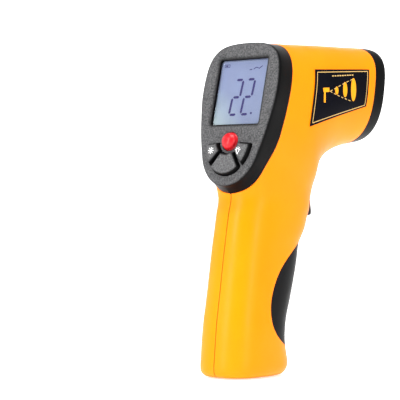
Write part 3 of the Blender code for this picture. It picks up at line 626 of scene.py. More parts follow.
def glowing(nodes, colour, strength, **inputs):
    """Finishes a material that shines a little in its own colour."""
    shared = {"Base_Color": colour, "Emission_Color": colour, "Specular_IOR_Level": 0.1}
    return nodes.finished(**shared, Emission_Strength=strength, **inputs)


def display_painted_glow():
    """The display behind its window, glowing a little: partly its backlight, and partly painted light in
    place of the lamp light that the window holds back. Pale blue, paler and greener towards one low corner.
    """
    nodes = Nodes("display")
    low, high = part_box("lcd_glass")
    fall = nodes.spread(nodes.along((0, 0, 1)), low.z, high.z, 1.0, 0.0)
    aside = nodes.spread(nodes.along((1, 0, 0)), low.x, high.x, 1.0, 0.0)
    colour = nodes.mixed(fall, DISPLAY_TOP, DISPLAY_LOW)
    colour = nodes.mixed(nodes.spread(nodes.times(fall, aside), 0.35, 1.0), colour, DISPLAY_CORNER)
    colour = nodes.mixed(nodes.spread(nodes.noise(1.2, 4.0), 0.3, 0.7, 0.0, 0.15), colour, DISPLAY_GREY)
    ripple = nodes.bump(nodes.noise(0.4, 2.0), 0.1, 0.01)
    # The glow is partly painted light
    return glowing(nodes, colour, 0.45, Roughness=0.35, Normal=ripple)


def segment_ink():
    """The dark blue of the display's bars, glowing a little as painted light in place of the lamp light that
    the window holds back.
    """
    nodes = Nodes("display_ink")
    colour = nodes.mixed(nodes.spread(nodes.noise(1.5), 0.3, 0.7), *INK_TONES)
    ripple = nodes.bump(nodes.noise(0.4, 2.0), 0.1, 0.01)
    return glowing(nodes, colour, 0.3, Roughness=0.5, Normal=ripple)


def paper_white():
    """The floor and backdrop."""
    nodes = Nodes("paper_white")
    colour = nodes.mixed(nodes.spread(nodes.noise(300.0, 2.0), 0.3, 0.7), *PAPER_TONES)
    return glowing(nodes, colour, 0.65, Roughness=0.9)


# Name, colour, roughness, then grain: size, strength and depth, then drift of the colour, wear, and shine
YELLOW = moulded("case_yellow", (1.0, 0.232, 0.0010), 0.36, 0.5, 0.12, 0.02, 0.06, 0.08, 0.09, seam=True)
RED = moulded("key_red", (0.50, 0.004, 0.010), 0.30, 0.6, 0.15, 0.02, 0.12, 0.08, 0.3)
DOOR_BLACK = moulded("door_black", (0.005, 0.005, 0.0055), 0.36, 0.4, 0.2, 0.02, 0.2, 0.015, 0.05)
TRIGGER_BLACK = moulded("trigger_black", (0.008, 0.008, 0.009), 0.32, 0.4, 0.15, 0.02, 0.2, 0.03, 0.25)
TAB_GREY = moulded("tab_grey", (0.05, 0.05, 0.06), 0.28, 0.6, 0.1, 0.02, 0.15, 0.08, 0.5)
LABEL_BLACK = moulded("label_film", (0.003, 0.003, 0.006), 0.30, 0.8, 0.12, 0.01, 0.3, 0.01, 0.03)
GOLD = moulded("label_gold", (0.60, 0.38, 0.12), 0.35, 0.8, 0.1, 0.01, 0.1, 0.05, 0.2)
ORANGE = moulded("label_orange", (0.85, 0.33, 0.008), 0.4, 0.8, 0.1, 0.01, 0.1, 0.03, 0.1)
WHITE_INK = moulded("white_ink", (0.80, 0.80, 0.80), 0.5, 0.6, 0.1, 0.01, 0.1, 0.0, 0.4)
INNER_BLACK = moulded("inner_black", (0.02, 0.02, 0.02), 0.55, 0.6, 0.3, 0.03, 0.2, 0.05, 0.5)
BOARD_GREEN = moulded("board_green", (0.02, 0.16, 0.06), 0.35, 0.8, 0.3, 0.03, 0.25, 0.05, 0.5)
GREY_RUBBER = moulded("grey_rubber", (0.20, 0.20, 0.22), 0.7, 0.5, 0.3, 0.03, 0.15, 0.05, 0.4)
PINK_STRIP = moulded("pink_strip", (0.70, 0.40, 0.48), 0.6, 0.3, 0.3, 0.03, 0.15, 0.05, 0.4)
LIGHT_GUIDE = moulded("light_guide", (0.75, 0.78, 0.86), 0.25, 0.8, 0.1, 0.01, 0.05, 0.02, 0.5)
LENS_DARK = moulded("sight_lens", (0.02, 0.02, 0.028), 0.12, 2.0, 0.05, 0.01, 0.2, 0.02, 0.8)

# Front faces and key tops painted grey as painted light, so that only their sides and rounded edges read near
# black
FACE_BLACK = painted_lit_front("surround_black", PANEL, -0.75, -0.15, 0.35, FACE_LIT_GREY)
NOSE_BLACK = painted_lit_front("nose_black", NOSE, -0.9, -0.1, 0.30, FACE_LIT_GREY)
KEY_BLACK = painted_lit_front("key_rubber", PANEL, KEY_TOP - 0.55, KEY_TOP - 0.1, 0.30, KEY_TOP_LIT_GREY)
STEEL = metal("plated_steel", (0.62, 0.62, 0.63), 0.3)
BRASS = metal("brass", (0.78, 0.52, 0.20), 0.25)
WINDOW_CLEAR = clear("window_clear", (0.97, 0.98, 1.0), 0.02, 1.35)
LASER_RED = clear("laser_lens", (0.9, 0.25, 0.25), 0.05, 1.45)
CELL_WRAP = cell_wrap()
DISPLAY = display_painted_glow()
INK = segment_ink()

# ---- body surface


def section_at(position):
    """The section at a row of SECTIONS, or part of the way to the next row."""
    index = min(int(position), len(SECTIONS) - 2)
    return between(knots_at(SECTIONS, index), position - index)


def half_width(row, fraction):
    """Half of a section's width, at a fraction of the way from its lower edge to its upper one."""
    width, low_round, high_round, widest = row[4:]
    if fraction <= 0 or fraction >= 1:
        return 0.0
    if fraction < widest:
        reach, power = (widest - fraction) / widest, low_round
    else:
        reach, power = (fraction - widest) / (1 - widest), high_round
    return width * (1 - reach**power) ** (1 / power)


def section_loop(row, half_count, inset=0.0, forward=0.0):
    """Points round a section from its lower edge up the +X side, and down the -X side."""
    y0, z0, y1, z1, width, low_round, high_round, widest = row
    low = Vector((0, y0, z0))
    high = Vector((0, y1, z1))
    along = (high - low).normalized()
    low += along * inset
    high -= along * inset
    length = (high - low).length
    centre = low + along * length * widest + Vector((0, along.z, -along.y)) * forward
    points = []
    for i in range(half_count + 1):
        angle = pi * i / half_count
        rounding = low_round if angle < pi / 2 else high_round
        reach = widest * length if angle < pi / 2 else (1 - widest) * length
        step = -math.copysign(abs(cos(angle)) ** (2 / rounding), cos(angle)) * reach
        side = (width - inset) * sin(angle) ** (2 / rounding) if 0 < i < half_count else 0.0
        points.append(centre + along * step + Vector((side, 0, 0)))
    return points + [Vector((-p.x, p.y, p.z)) for p in reversed(points[1:-1])]


SURFACE = [section_at(k / 4) for k in range(4 * len(SECTIONS) - 3)]


def body_half_width(y, z):
    """Half of the body's width at a place in side view."""
    before = None
    for row in SURFACE:
        line = Vector((row[2] - row[0], row[3] - row[1]))
        point = Vector((y - row[0], z - row[1]))
        side = line.x * point.y - line.y * point.x
        width = half_width(row, point.dot(line) / line.length_squared)
        if before is not None and before[0] >= 0 > side:
            share = before[0] / (before[0] - side)
            return before[1] + (width - before[1]) * share
        before = (side, width)
    return 0.0


def body_loops(first, last, half_count, step, inset=0.0):
    count = round((last - first) / step)
    return [section_loop(section_at(first + step * i), half_count, inset) for i in range(count + 1)]


def handle_shell(half_count, step, outer, inner):
    """The handle's skin between two insets."""
    loops = body_loops(*HANDLE_ROWS, half_count, step, outer)
    return loft(loops + body_loops(*HANDLE_ROWS, half_count, step, inner)[::-1], closed=True)


# ---- case halves

EDGE_CURVE = [SURROUND_EDGE[0]] + open_curve(SURROUND_EDGE[1:], 6)
DOOR_CURVE = [DOOR_OUTLINE[0]] + open_curve(DOOR_OUTLINE[1:-1], 5) + [DOOR_OUTLINE[-1]]
# Everything behind the surround's front edge
REAR_CUT = (*EDGE_CURVE, (-80.0, SURROUND_EDGE[-1][1]), (-80.0, 158.0), (SURROUND_EDGE[0][0], 158.0))
# X and radius of the room round the door's hinge, on the +X side
RELIEF_SIDE = ((2.5, 4.3), (5.0, 3.85), (8.0, 2.8), (9.6, 2.0))
DOOR_RELIEF = [(-x, radius) for x, radius in reversed(RELIEF_SIDE)] + list(RELIEF_SIDE)
TRIGGER_SLOT = ((-6.0, 67.7), (30.0, 89.3))
TAB_CUT = ((-15.2, TAB_LOW - GAP), (0.0, 13.5))
SEAM_GAP = 0.012
SEAM_DEPTH = 0.9
SCREWS = ((10.0, 126.0), (-3.0, 114.0))
SCREW_BOSS_RADIUS = 3.3
SCREW_HOLE_RADIUS = 1.5
HEAD_HOLE_RADIUS = 2.8
HEAD_X = 15.8
PIN_BOSS_RADIUS = 2.6
PIN_HOLE_RADIUS = 1.3
PIN_BOSS_X = TRIGGER_HALF_WIDTH + 2 * GAP
PIN_HALF_LENGTH = 8.3
BOSS_COVER = 0.8
LEDGE_PART = ((-40, 15), (-17, 50))
LUG_X = (2.6, 4.4)
LUG_HOLE_RADIUS = 0.56
LUG_OUTLINE = (
    (-3.7, 57.6), (-4.2, 58.7), (-5.8, 59.3), (-5.9, 62.2), (-0.4, 62.3), (-0.4, 63.6), (-6.6, 63.6),
    (-7.3, 62.4), (-7.2, 58.6), (-6.7, 57.6), (-6.2, 56.5), (-5.2, 56.1), (-4.2, 56.5),
)


def on_side(side, inner, outer):
    """A span of X on the right (side 1), or its mirror on the left (side -1)."""
    return sorted((side * inner, side * outer))


def outer_body():
    return loft(body_loops(NOSE_ROW, len(SECTIONS) - 1, 14 + 8 * FINE, 0.5 / FINE))


def case():
    """Both halves of the case in one, hollow, with the openings for what sits in it."""
    hollow = body_loops(NOSE_ROW, FLOOR_ROW, 12, 1.0, WALL)
    front = [point + Vector((0, 8, 0)) for point in hollow[0]]
    slot_half = TRIGGER_HALF_WIDTH + GAP
    tab_half = TAB_HALF_WIDTH + GAP
    tools = [
        loft([front, *hollow]),
        through(REAR_CUT, 40),
        box(*TRIGGER_SLOT, -slot_half, slot_half),
        through(grown(DOOR_CURVE, GAP), 30),
        turned(SIDE, DOOR_AXIS, DOOR_RELIEF, 28),
        box(*TAB_CUT, -tab_half, tab_half),
    ]
    return carve(outer_body(), tools)


def boss_reach(y, z, radius):
    """How far along X a boss can go before it would show through the body surface."""
    return min(body_half_width(*spot) for spot in ring((y, z), radius, 12)) - BOSS_COVER


def seam_groove():
    """A shallow groove all round the middle plane, between the halves' outer edges."""
    plate = box((-99, -9), (99, 199), -GAP / 2, GAP / 2)
    return carve(plate, [loft(body_loops(NOSE_ROW, FLOOR_ROW, 14, 1.0, SEAM_DEPTH))])


def door_ledge(side):
    """A thin rim inside the case that stands behind the door's rear edge."""
    tools = [through(grown(DOOR_CURVE, 0.9), 25), box(*LEDGE_PART, *on_side(side, 2, 25))]
    rim = carve(handle_shell(20, 0.5, 2.1, 2.7), tools, "INTERSECT")
    return carve(rim, [through(grown(DOOR_CURVE, -0.7), 25)])


def half_case(whole, side):
    """One half of the case with its screw bosses, pin boss and hinge lug."""
    away = box((-99, -9), (99, 199), *on_side(side, -99, SEAM_GAP / 2))
    body = carve(whole.copy(), [away, seam_groove()])
    bosses = []
    holes = []
    for screw in SCREWS:
        reach = boss_reach(*screw, SCREW_BOSS_RADIUS)
        bosses.append(cross_rod(*screw, side * GAP / 2, side * reach, SCREW_BOSS_RADIUS, 32))
        low, high = (-1, 11) if side > 0 else (-30, 1)
        holes.append(cross_rod(*screw, low, high, SCREW_HOLE_RADIUS))
        if side < 0:
            holes.append(cross_rod(*screw, -30, GAP - HEAD_X, HEAD_HOLE_RADIUS, 32))
    reach = boss_reach(*TRIGGER_PIVOT, PIN_BOSS_RADIUS)
    bosses.append(cross_rod(*TRIGGER_PIVOT, side * PIN_BOSS_X, side * reach, PIN_BOSS_RADIUS, 32))
    holes.append(cross_rod(*TRIGGER_PIVOT, -PIN_HALF_LENGTH, PIN_HALF_LENGTH, PIN_HOLE_RADIUS))
    bosses += [prism(SIDE, LUG_OUTLINE, *on_side(side, *LUG_X)), door_ledge(side)]
    holes.append(cross_rod(*DOOR_AXIS, -5, 5, LUG_HOLE_RADIUS, 16))
    return shaded_like(carve(carve(body, bosses, "UNION"), holes), outer_body())


whole_case = case()
for side, side_name in ((1, "right"), (-1, "left")):
    half = half_case(whole_case, side)
    put("case_half_" + side_name, half, YELLOW, "case", [side_name + "_shell"], weighted=False)

# ---- display surround

FULL_PANEL = PANEL_OUTLINE + tuple((-a, b) for a, b in reversed(PANEL_OUTLINE[1:-1]))
PANEL_CURVE = closed_curve(FULL_PANEL, 3 * FINE)
PANEL_TOP = PANEL_OUTLINE[0][1]
PANEL_LOW = PANEL_OUTLINE[-1][1]
EDGE_ROUND = 1.5
SKIRT_DROP = 0.6
# The slope down to the window: how far beyond the window, corner radius, and height
WINDOW_SLOPE = (
    (0.0, 1.2, -WINDOW_RECESS - 0.01),
    (0.03, 1.2, -0.80),
    (0.15, 1.2, -0.66),
    (1.2, 1.8, -0.30),
    (1.6, 2.0, -0.06),
    (2.1, 2.4, 0.3),
)
KEY_CORNER = 1.5
LEAST_KEY_CORNER = 0.4
WINDOW_TOP = -WINDOW_RECESS - 0.02
WINDOW_THICK = 1.0


def edge_y(z):
    """Where the surround's front edge is, at a height."""
    for (y0, z0), (y1, z1) in zip(EDGE_CURVE, EDGE_CURVE[1:]):
        if z1 <= z <= z0:
            return y0 + (y1 - y0) * (z - z0) / (z1 - z0)
    return EDGE_CURVE[-1][0]


def rim_loop(inset):
    """The surround's front edge, with a point for each point of the panel."""
    points = []
    for a, b in PANEL_CURVE:
        share = (b - PANEL_LOW) / (PANEL_TOP - PANEL_LOW)
        low = SURROUND_BOTTOM + inset
        z = low + share * (SURROUND_TOP - inset - low)
        y = edge_y(z) - GAP
        width = max(0.0, body_half_width(y, z) - inset)
        points.append(Vector((math.copysign(width, a) if abs(a) > 0.01 else 0.0, y, z)))
    return points


def blend(first, second, share):
    return [p.lerp(q, share) for p, q in zip(first, second)]


def panel_loop(inset, height):
    return in_frame(PANEL, grown(PANEL_CURVE, -inset), height)


def window_outline(more, corner=1.2):
    a = WINDOW_HALF_WIDTH + more
    low = WINDOW_LOW - more
    high = WINDOW_HIGH + more
    return rounded(((a, low), (a, high), (-a, high), (-a, low)), corner, 4)


def polar(centre, reach, angle):
    return (centre[0] + cos(angle) * reach, centre[1] + sin(angle) * reach)


def key_outline(low, high, inset=0.0):
    """A sector between the red key and the oval edge of the cluster, with round corners."""
    steps = 5

    def arc(reach_at):
        first = radians(low)
        last = radians(high)
        first += math.asin(inset / reach_at(first))
        last -= math.asin(inset / reach_at(last))
        angles = [first + (last - first) * i / steps for i in range(steps + 1)]
        return [polar(KEYS_CENTRE, reach_at(angle), angle) for angle in angles]

    def oval(angle):
        half = KEYS_HALF_WIDTH - inset
        tall = KEYS_HALF_HEIGHT - inset
        return 1 / math.hypot(cos(angle) / half, sin(angle) / tall)

    outline = arc(oval) + arc(lambda angle: KEY_INNER_RADIUS + inset)[::-1]
    return closed_curve(rounded(outline, max(LEAST_KEY_CORNER, KEY_CORNER - inset), 4, 30.0), 2)


def surround():
    """The black frame of the display and keys, with a skirt down to the case."""
    rim = rim_loop(0.0)
    rim_inner = rim_loop(PANEL_WALL)
    skirt = panel_loop(0.0, -EDGE_ROUND - SKIRT_DROP)
    skirt_inner = panel_loop(PANEL_WALL, -PANEL_WALL - SKIRT_DROP)
    loops = [panel_loop(PANEL_WALL + SKIRT_DROP, -PANEL_WALL), skirt_inner]
    loops += [blend(skirt_inner, rim_inner, 0.5), rim_inner, rim]
    loops += [blend(rim, skirt, share) for share in (0.06, 0.35, 0.7)]
    loops.append(skirt)
    for i in range(1, 6):
        angle = pi / 2 * i / 5
        loops.append(panel_loop(EDGE_ROUND * (1 - cos(angle)), EDGE_ROUND * (sin(angle) - 1)))
    recess = [in_frame(PANEL, window_outline(more, corner), height) for more, corner, height in WINDOW_SLOPE]
    cuts = [loft(recess), prism(PANEL, window_outline(0.0), -5, 1)]
    cuts.append(prism(PANEL, ring(KEYS_CENTRE, RED_KEY_RADIUS + GAP, 48), -5, 2))
    cuts += [prism(PANEL, key_outline(low, high, -GAP), -5, 2) for low, high in KEY_ARCS.values()]
    return carve(loft(loops), cuts)


put("display_surround", surround(), FACE_BLACK, "case", ["rear_bezel"])

window = prism(PANEL, window_outline(-GAP), WINDOW_TOP - WINDOW_THICK, WINDOW_TOP)
put("display_window", bevelled(window, 0.15, 2), WINDOW_CLEAR, "case", ["lcd_window"])

# ---- display drawing

LCD_TOP = -WINDOW_RECESS - WINDOW_THICK - GAP
INK_SPAN = (LCD_TOP + 0.02, LCD_TOP + 0.10)
DIGIT_PLACES = ((-5.4, 5.8), (1.1, 5.8))
DIGIT_WIDTH = 4.1
DIGIT_HEIGHT = 15.7
DIGIT_SLANT = 0.075
DIGIT_CUT = 0.35
STROKE = 1.1
DOT_PLACE = (6.9, 6.2)
DOT_RADIUS = 0.5
# Each mark's width and the points of its line
MARKS = (
    (0.22, ((-11.8, 27.6), (-9.2, 27.6), (-9.2, 28.8), (-11.8, 28.8), (-11.8, 27.7))),
    (0.6, ((-11.3, 28.2), (-10.2, 28.2))),
    (0.35, ((2.4, 25.9), (3.8, 26.0))),
    (0.35, ((4.6, 26.1), (6.0, 26.9), (7.6, 26.3), (9.3, 27.4))),
)


def flat_stroke(points, width, span):
    """A stroke of even width along a line of panel points, as one thin closed body."""
    left = []
    right = []
    for i, point in enumerate(points):
        here = Vector(point)
        arrive = (here - Vector(points[max(0, i - 1)])).normalized()
        leave = (Vector(points[min(len(points) - 1, i + 1)]) - here).normalized()
        along = (arrive + leave).normalized()
        reach = width / 2 / max(0.5, along.dot(leave if i == 0 else arrive))
        across = Vector((-along.y, along.x)) * reach
        left.append(tuple(here + across))
        right.append(tuple(here - across))
    return prism(PANEL, left + right[::-1], *span)


def digit_segments(base_a, base_b):
    """The five lit bars of a figure two, each with pointed ends."""
    w, h, cut = DIGIT_WIDTH, DIGIT_HEIGHT, DIGIT_CUT
    bars = (
        ((cut, h), (w - cut, h)),
        ((w, h - cut), (w, h / 2 + cut)),
        ((w - cut, h / 2), (cut, h / 2)),
        ((0, h / 2 - cut), (0, cut)),
        ((cut, 0), (w - cut, 0)),
    )
    found = []
    for start, end in bars:
        a = Vector(start)
        b = Vector(end)
        along = (b - a).normalized()
        across = Vector((-along.y, along.x)) * STROKE / 2
        tip = along * STROKE / 2
        corners = (a, a + tip + across, b - tip + across, b, b - tip - across, a + tip - across)
        outline = [(base_a + p.x + p.y * DIGIT_SLANT, base_b + p.y) for p in corners]
        found.append(prism(PANEL, outline, *INK_SPAN))
    return found


segments = [bar for place in DIGIT_PLACES for bar in digit_segments(*place)]
segments.append(prism(PANEL, ring(DOT_PLACE, DOT_RADIUS, 16), *INK_SPAN))
put("display_digits", joined(segments), INK, "case", weighted=False)
marks = [flat_stroke(points, width, INK_SPAN) for width, points in MARKS]
put("display_marks", joined(marks), INK, "case", weighted=False)

# ---- keys

KEY_EDGE = 1.5
KEY_FALL = 1.1
KEY_DRAFT = 0.3
ICON_SPAN = (KEY_TOP - 0.1, KEY_TOP + 0.06)
BURST = (-8.2, -11.4)
BULB = (6.8, -11.6)
BULB_RADIUS = 0.8
# The bulb's outline is open at the bottom, where its cap is
BULB_ANGLES = [radians(-55 + 290 * i / 16) for i in range(17)]
# The two bars of the bulb's cap: half length, how far below the bulb's middle, and width
BULB_CAP = ((0.45, 1.1, 0.32), (0.3, 1.55, 0.28))
RED_TOP = 3.1
RED_CROWN_RADIUS = 3.75
RED_CROWN_LOW = 0.4
RED_CROWN_POWER = 0.85


def key_cap(low, high):
    """A raised pad with drafted walls and a rounded top edge."""
    rows = [(0.0, -KEY_DEPTH), (0.0, 0.2)]
    for i in range(7):
        angle = pi / 2 * i / 6
        rows.append((KEY_DRAFT + KEY_EDGE * (1 - cos(angle)), KEY_TOP - KEY_FALL + KEY_FALL * sin(angle)))
    return loft([in_frame(PANEL, key_outline(low, high, inset), height) for inset, height in rows])


def rays(centre, angles, near, far, width):
    """Short strokes that point away from a centre."""
    lines = [(polar(centre, near, angle), polar(centre, far, angle)) for angle in angles]
    return [flat_stroke(line, width, ICON_SPAN) for line in lines]


for key_name, (arc_low, arc_high) in KEY_ARCS.items():
    put(key_name + "_cap", key_cap(arc_low, arc_high), KEY_BLACK, key_name, [key_name])

burst = [prism(PANEL, ring(BURST, 0.65, 20), *ICON_SPAN)]
burst += rays(BURST, [pi * i / 4 for i in range(8)], 0.85, 1.55, 0.32)
put("laser_key_icon", joined(burst), WHITE_INK, "laser_key", weighted=False)
bulb = [flat_stroke([polar(BULB, BULB_RADIUS, angle) for angle in BULB_ANGLES], 0.32, ICON_SPAN)]
for half, drop, width in BULB_CAP:
    ends = ((BULB[0] - half, BULB[1] - drop), (BULB[0] + half, BULB[1] - drop))
    bulb.append(flat_stroke(ends, width, ICON_SPAN))
bulb += rays(BULB, [pi * (0.1 + 0.2 * i) for i in range(5)], 1.15, 1.6, 0.26)
put("light_key_icon", joined(bulb), WHITE_INK, "light_key", weighted=False)

red_profile = [(-KEY_DEPTH, RED_KEY_RADIUS), (0.0, RED_KEY_RADIUS), (0.25, RED_CROWN_RADIUS)]
for i in range(1, 9):
    angle = pi / 2 * i / 9
    height = RED_CROWN_LOW + (RED_TOP - RED_CROWN_LOW) * sin(angle)
    red_profile.append((height, RED_CROWN_RADIUS * cos(angle) ** RED_CROWN_POWER))
put("red_key_dome", turned(PANEL, KEYS_CENTRE, red_profile, 48), RED, "red_key", ["red_key"])

# ---- nose

NOSE_WALL = 2.2
NOSE_STEPS = (2.4, 2.0, 1.6, 1.2, 0.9, 0.6, 0.35, 0.15, 0)


def flared_hole(up, radius, straight_end, mouth, flare, sides):
    """A round hole into the nose, a little wider at its mouth."""
    profile = ((-6, radius), (straight_end, radius), (mouth, radius + flare))
    return turned(NOSE, (0, up), profile, sides)


def nose_cap():
    """The black front cap, hollow from behind, with its sight hole and laser hole."""
    count = 24 + 8 * FINE
    edge = section_at(NOSE_ROW)
    loops = [section_loop(section_at(place), count, NOSE_WALL, forward=-NOSE_WALL) for place in (0, 1)]
    loops += [section_loop(edge, count, NOSE_WALL, forward=GAP), section_loop(edge, count, forward=GAP)]
    loops += [section_loop(section_at(place), count) for place in NOSE_STEPS]
    sight = flared_hole(SIGHT_UP, SIGHT_RADIUS, -0.6, 0.6, 0.9, 64)
    laser = flared_hole(LASER_UP, LASER_RADIUS, -0.4, 0.5, 0.6, 40)
    return carve(loft(loops), [sight, laser])


put("nose_ring", nose_cap(), NOSE_BLACK, "case", ["nose_bezel"])

# ---- labels

# Heights above the body of the two faces of the film, and of what is printed on it
FILM_SPAN = (0.16, 0.40)
PRINT_SPAN = (0.30, 0.46)
BORDER_INSET = (0.034, 0.05)
FINE_LINE = 0.35
# Discs: place (s, t), half length and half height in millimetres
SPOTS = (((0.404, 0.435), 1.2, 1.8), ((0.556, 0.445), 1.6, 3.4), ((0.713, 0.475), 2.0, 5.2))
# Bars: start and end (s, t), and width in millimetres
PISTOL = (((0.155, 0.385), (0.265, 0.395), 1.9), ((0.185, 0.42), (0.205, 0.63), 1.3))
RULES = (
    ((0.15, 0.29), (0.87, 0.29), 1.1),
    ((0.38, 0.47), (0.87, 0.47), 0.8),
    ((0.15, 0.72), (0.36, 0.72), 0.8),
)
CONE_START = (0.285, 0.43)
CONE_ENDS = ((0.71, 0.21), (0.71, 0.75))


def label_spot(s, t):
    """Side-view place on the label, s from rear to front and t from top to bottom."""
    front_top, rear_top, rear_low, front_low = (Vector(corner) for corner in LABEL_CORNERS)
    top = rear_top.lerp(front_top, s)
    low = rear_low.lerp(front_low, s)
    return top.lerp(low, t)


def sheet_on_body(grid, side, span):
    """A thin sheet that follows the body under a grid of side-view places."""

    def lifted(row, lift):
        return [Vector((side * (body_half_width(*spot) + lift), *spot)) for spot in row]

    return loft([lifted(row, span[0]) + lifted(row, span[1])[::-1] for row in grid])


def bar_on_label(start, end, width, side, steps=16):
    """A straight printed bar between two label places (s, t), with a width in millimetres."""
    a = label_spot(*start)
    b = label_spot(*end)
    along = (b - a).normalized()
    across = Vector((-along.y, along.x)) * width / 2
    grid = [[a.lerp(b, i / steps) - across, a.lerp(b, i / steps) + across] for i in range(steps + 1)]
    return sheet_on_body(grid, side, PRINT_SPAN)


def disc_on_label(place, wide, tall, side):
    """A printed oval. Its middle is a hole too small to see."""
    centre = label_spot(*place)
    angles = [2 * pi * i / 32 for i in range(33)]
    edges = [Vector((cos(angle) * wide, sin(angle) * tall)) for angle in angles]
    return sheet_on_body([[centre + edge * 0.02, centre + edge] for edge in edges], side, PRINT_SPAN)


def label_film(side):
    grid = [[label_spot(i / 24, j / 14) for j in range(15)] for i in range(25)]
    return sheet_on_body(grid, side, FILM_SPAN)


def label_border(side):
    s, t = BORDER_INSET
    corners = ((s, t), (1 - s, t), (1 - s, 1 - t), (s, 1 - t))
    return [bar_on_label(corners[i - 1], corners[i], FINE_LINE, side) for i in (1, 2, 3, 0)]


for side, side_name in ((1, "right"), (-1, "left")):
    put("label_film_" + side_name, label_film(side), LABEL_BLACK, "case", ["label_" + side_name])
    put("label_border_" + side_name, joined(label_border(side)), GOLD, "case", weighted=False)

spots = [disc_on_label(*spot, 1) for spot in SPOTS] + [bar_on_label(*bar, 1) for bar in PISTOL]
# The cone's two dashed edges, then the row of plain marks along the top
dashes = []
for cone_end in CONE_ENDS:
    start = Vector(CONE_START)
    end = Vector(cone_end)
    for i in range(6):
        dash = (start.lerp(end, i / 6), start.lerp(end, (i + 0.55) / 6))
        dashes.append(bar_on_label(*dash, FINE_LINE, 1, 2))
for i in range(9):
    s = 0.30 + 0.045 * i
    dashes.append(bar_on_label((s, 0.13), (s + 0.03, 0.13), 0.5, 1, 2))
rules = [bar_on_label(*rule, -1) for rule in RULES]
for name, meshes, ink in (("spots", spots, ORANGE), ("dashes", dashes, GOLD), ("rules", rules, GOLD)):
    put("label_" + name, joined(meshes), ink, "case", weighted=False)

# ---- trigger

TRIGGER_ROUND = 1.1
NOTCH = ((-6.0, 82.5), (6.6, 92.0))
NOTCH_HALF_WIDTH = 2.1


def trigger():
    """The lever, with its pin's hole and a notch for the spring."""
    body = bevelled(through(rounded(TRIGGER_OUTLINE, 1.0, 3), TRIGGER_HALF_WIDTH), TRIGGER_ROUND, 5, 60)
    notch = box(*NOTCH, -NOTCH_HALF_WIDTH, NOTCH_HALF_WIDTH)
    return carve(body, [notch, cross_rod(*TRIGGER_PIVOT, -10, 10, PIN_HOLE_RADIUS)])


put("trigger_lever", trigger(), TRIGGER_BLACK, "trigger", ["trigger"])

# ---- battery door

KNUCKLE_HALF_WIDTH = 2.3
KNUCKLE_RADIUS = 1.45
KNUCKLE_ROOM = (4.7, 1.8)
DOOR_HOLE_RADIUS = 0.58
WEB = ((DOOR_AXIS[0], DOOR_AXIS[1] - 1.4), (DOOR_AXIS[0] + 2.2, DOOR_AXIS[1] + 1.0))


def handle_skin():
    return handle_shell(16 + 8 * FINE, 0.5 / FINE, 0.0, DOOR_WALL)


def hinge_rod(half, radius, sides=24):
    """A rod along the door's hinge axis."""
    return cross_rod(*DOOR_AXIS, -half, half, radius, sides)


def battery_door():
    """The D-shaped cover, with the knuckle that its pin goes through."""
    skin = carve(handle_skin(), [through(DOOR_CURVE, 25)], "INTERSECT")
    skin = carve(skin, [hinge_rod(*KNUCKLE_ROOM)])
    web = box(*WEB, -KNUCKLE_HALF_WIDTH, KNUCKLE_HALF_WIDTH)
    skin = carve(skin, [hinge_rod(KNUCKLE_HALF_WIDTH, KNUCKLE_RADIUS), web], "UNION")
    return shaded_like(carve(skin, [hinge_rod(8, DOOR_HOLE_RADIUS, 16)]), handle_skin())


def door_tab():
    """The grey tab, whose top edge follows the door's lower edge."""
    block = box((-30, TAB_LOW), (10, TAB_HIGH + 3.0), -TAB_HALF_WIDTH, TAB_HALF_WIDTH)
    tab = carve(handle_skin(), [block], "INTERSECT")
    return carve(tab, [through(grown(DOOR_CURVE, 0.05), 25)])


put("door_cover", battery_door(), DOOR_BLACK, "door", ["battery_door"], weighted=False)
put("door_latch", door_tab(), TAB_GREY, "door", ["door_tab"])

# ---- carried-over nodes

CARRIED = (
    (DISPLAY, "lcd_glass"),
    (LIGHT_GUIDE, "backlight"),
    (PINK_STRIP, "lcd_strip"),
    (BOARD_GREEN, "main_board", "sensor_board"),
    (GREY_RUBBER, "key_mat", "sensor_wire", "switch_wire"),
    (INNER_BLACK, "control_chip", "lens_tube", "trigger_switch", "battery_tray", "battery_wire_black"),
    (LENS_DARK, "ir_lens"),
    (LASER_RED, "laser_lens"),
    (BRASS, "laser_barrel"),
    (RED, "switch_plunger", "battery_wire_red", "laser_wire"),
    (CELL_WRAP, "cell_left", "cell_right"),
    (STEEL, "thermopile", "trigger_pin", "trigger_spring", "door_pin", "case_screw_front", "case_screw_rear"),
    (STEEL, "contact_spring_lower", "contact_spring_upper", "contact_plate_lower", "contact_plate_upper"),
)
for node_material, *node_names in CARRIED:
    for node_name in node_names:
        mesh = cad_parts[node_name].data
        mesh.materials.clear()
        mesh.materials.append(node_material)

# ---- floor, lights and camera

CAMERA_AZIMUTH = 40.9
CAMERA_ELEVATION = -0.1
CAMERA_ROLL = 0.1
CAMERA_PLACE = (0.4568, -0.5884, 0.0748)
CAMERA_LENS = 149.2
OBJECT_CENTRE = Vector((0, 0, 0.08))
LIGHT_DISTANCE = 0.9
# Name, azimuth, elevation, width, height, watts
LIGHTS = (
    ("rear_strip", -15.0, 14.0, 0.08, 0.8, 7.5),
    ("side_strip", 78.0, 6.0, 0.05, 0.8, 5.0),
    ("left_fill", -70.0, 15.0, 0.5, 0.7, 2.0),
    ("top_box", 60.0, 75.0, 0.7, 0.5, 11.0),
)
# The backdrop, in metres
WALL_START = 0.9
WALL_CURVE = 0.3
WALL_TOP = 0.7
WALL_HALF_WIDTH = 0.7
FLOOR_RADIUS = 6.0
FLOOR_SIDES = 64
FLOOR_DROP = 0.0004


def towards(azimuth, elevation):
    """The direction from the object to a camera or a light."""
    a, e = radians(azimuth), radians(elevation)
    return Vector((sin(a) * cos(e), -cos(a) * cos(e), sin(e)))


def rightwards(azimuth):
    """The direction of the right-hand side of a view."""
    return Vector((cos(radians(azimuth)), sin(radians(azimuth)), 0))


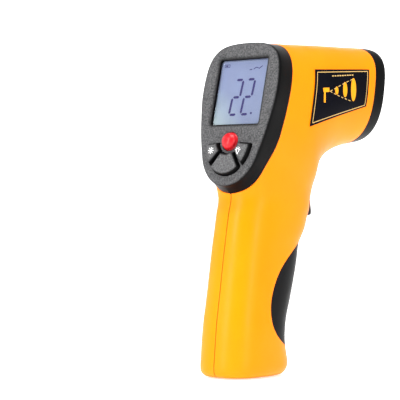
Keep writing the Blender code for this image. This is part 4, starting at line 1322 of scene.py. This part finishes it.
def stage_sheet():
    """A wide pale floor, and behind the object a wall that curves up from it."""
    profile = [(WALL_START, 0.0)]
    for i in range(1, 13):
        angle = pi / 2 * i / 12
        profile.append((WALL_START + WALL_CURVE * sin(angle), WALL_CURVE * (1 - cos(angle))))
    profile.append((WALL_START + WALL_CURVE, WALL_TOP))
    away = -towards(CAMERA_AZIMUTH, 0.0)
    across = rightwards(CAMERA_AZIMUTH)
    sides = (-WALL_HALF_WIDTH * across, WALL_HALF_WIDTH * across)
    points = [away * reach + side + Vector((0, 0, height)) for reach, height in profile for side in sides]
    faces = [(2 * i, 2 * i + 1, 2 * i + 3, 2 * i + 2) for i in range(len(profile) - 1)]
    faces.append(tuple(range(len(points), len(points) + FLOOR_SIDES)))
    points += [Vector((x, y, 0)) for x, y in ring((0, 0), FLOOR_RADIUS, FLOOR_SIDES)]
    mesh = bpy.data.meshes.new("backdrop")
    mesh.from_pydata([tuple(point - Vector((0, 0, FLOOR_DROP))) for point in points], [], faces)
    mesh.shade_smooth()
    return linked("backdrop", mesh)


def softbox(name, azimuth, elevation, width, height, watts):
    """An area light that faces the object."""
    data = bpy.data.lights.new(name, "AREA")
    assign(data, shape="RECTANGLE", size=width, size_y=height, energy=watts)
    light = linked(name, data)
    back = towards(azimuth, elevation)
    light.location = OBJECT_CENTRE + back * LIGHT_DISTANCE
    light.rotation_euler = back.to_track_quat("Z", "Y").to_euler()


backdrop = stage_sheet()
backdrop.data.materials.append(paper_white())

world = bpy.data.worlds.new("studio")
world.use_nodes = True
sky = world.node_tree.nodes["Background"].inputs
sky["Color"].default_value = (1.0, 1.0, 1.0, 1.0)
sky["Strength"].default_value = 0.50
bpy.context.scene.world = world
bpy.context.scene.view_settings.view_transform = "Standard"

for light_row in LIGHTS:
    softbox(*light_row)

camera_data = bpy.data.cameras.new("camera")
assign(camera_data, sensor_width=36.0, lens=CAMERA_LENS)
camera = linked("camera", camera_data)
right = rightwards(CAMERA_AZIMUTH)
up = towards(CAMERA_AZIMUTH, CAMERA_ELEVATION).cross(right)
roll = radians(CAMERA_ROLL)
rolled_right = right * cos(roll) + up * sin(roll)
rolled_up = up * cos(roll) - right * sin(roll)
camera.matrix_world = frame_matrix(CAMERA_PLACE, rolled_right, rolled_up)
bpy.context.scene.camera = camera
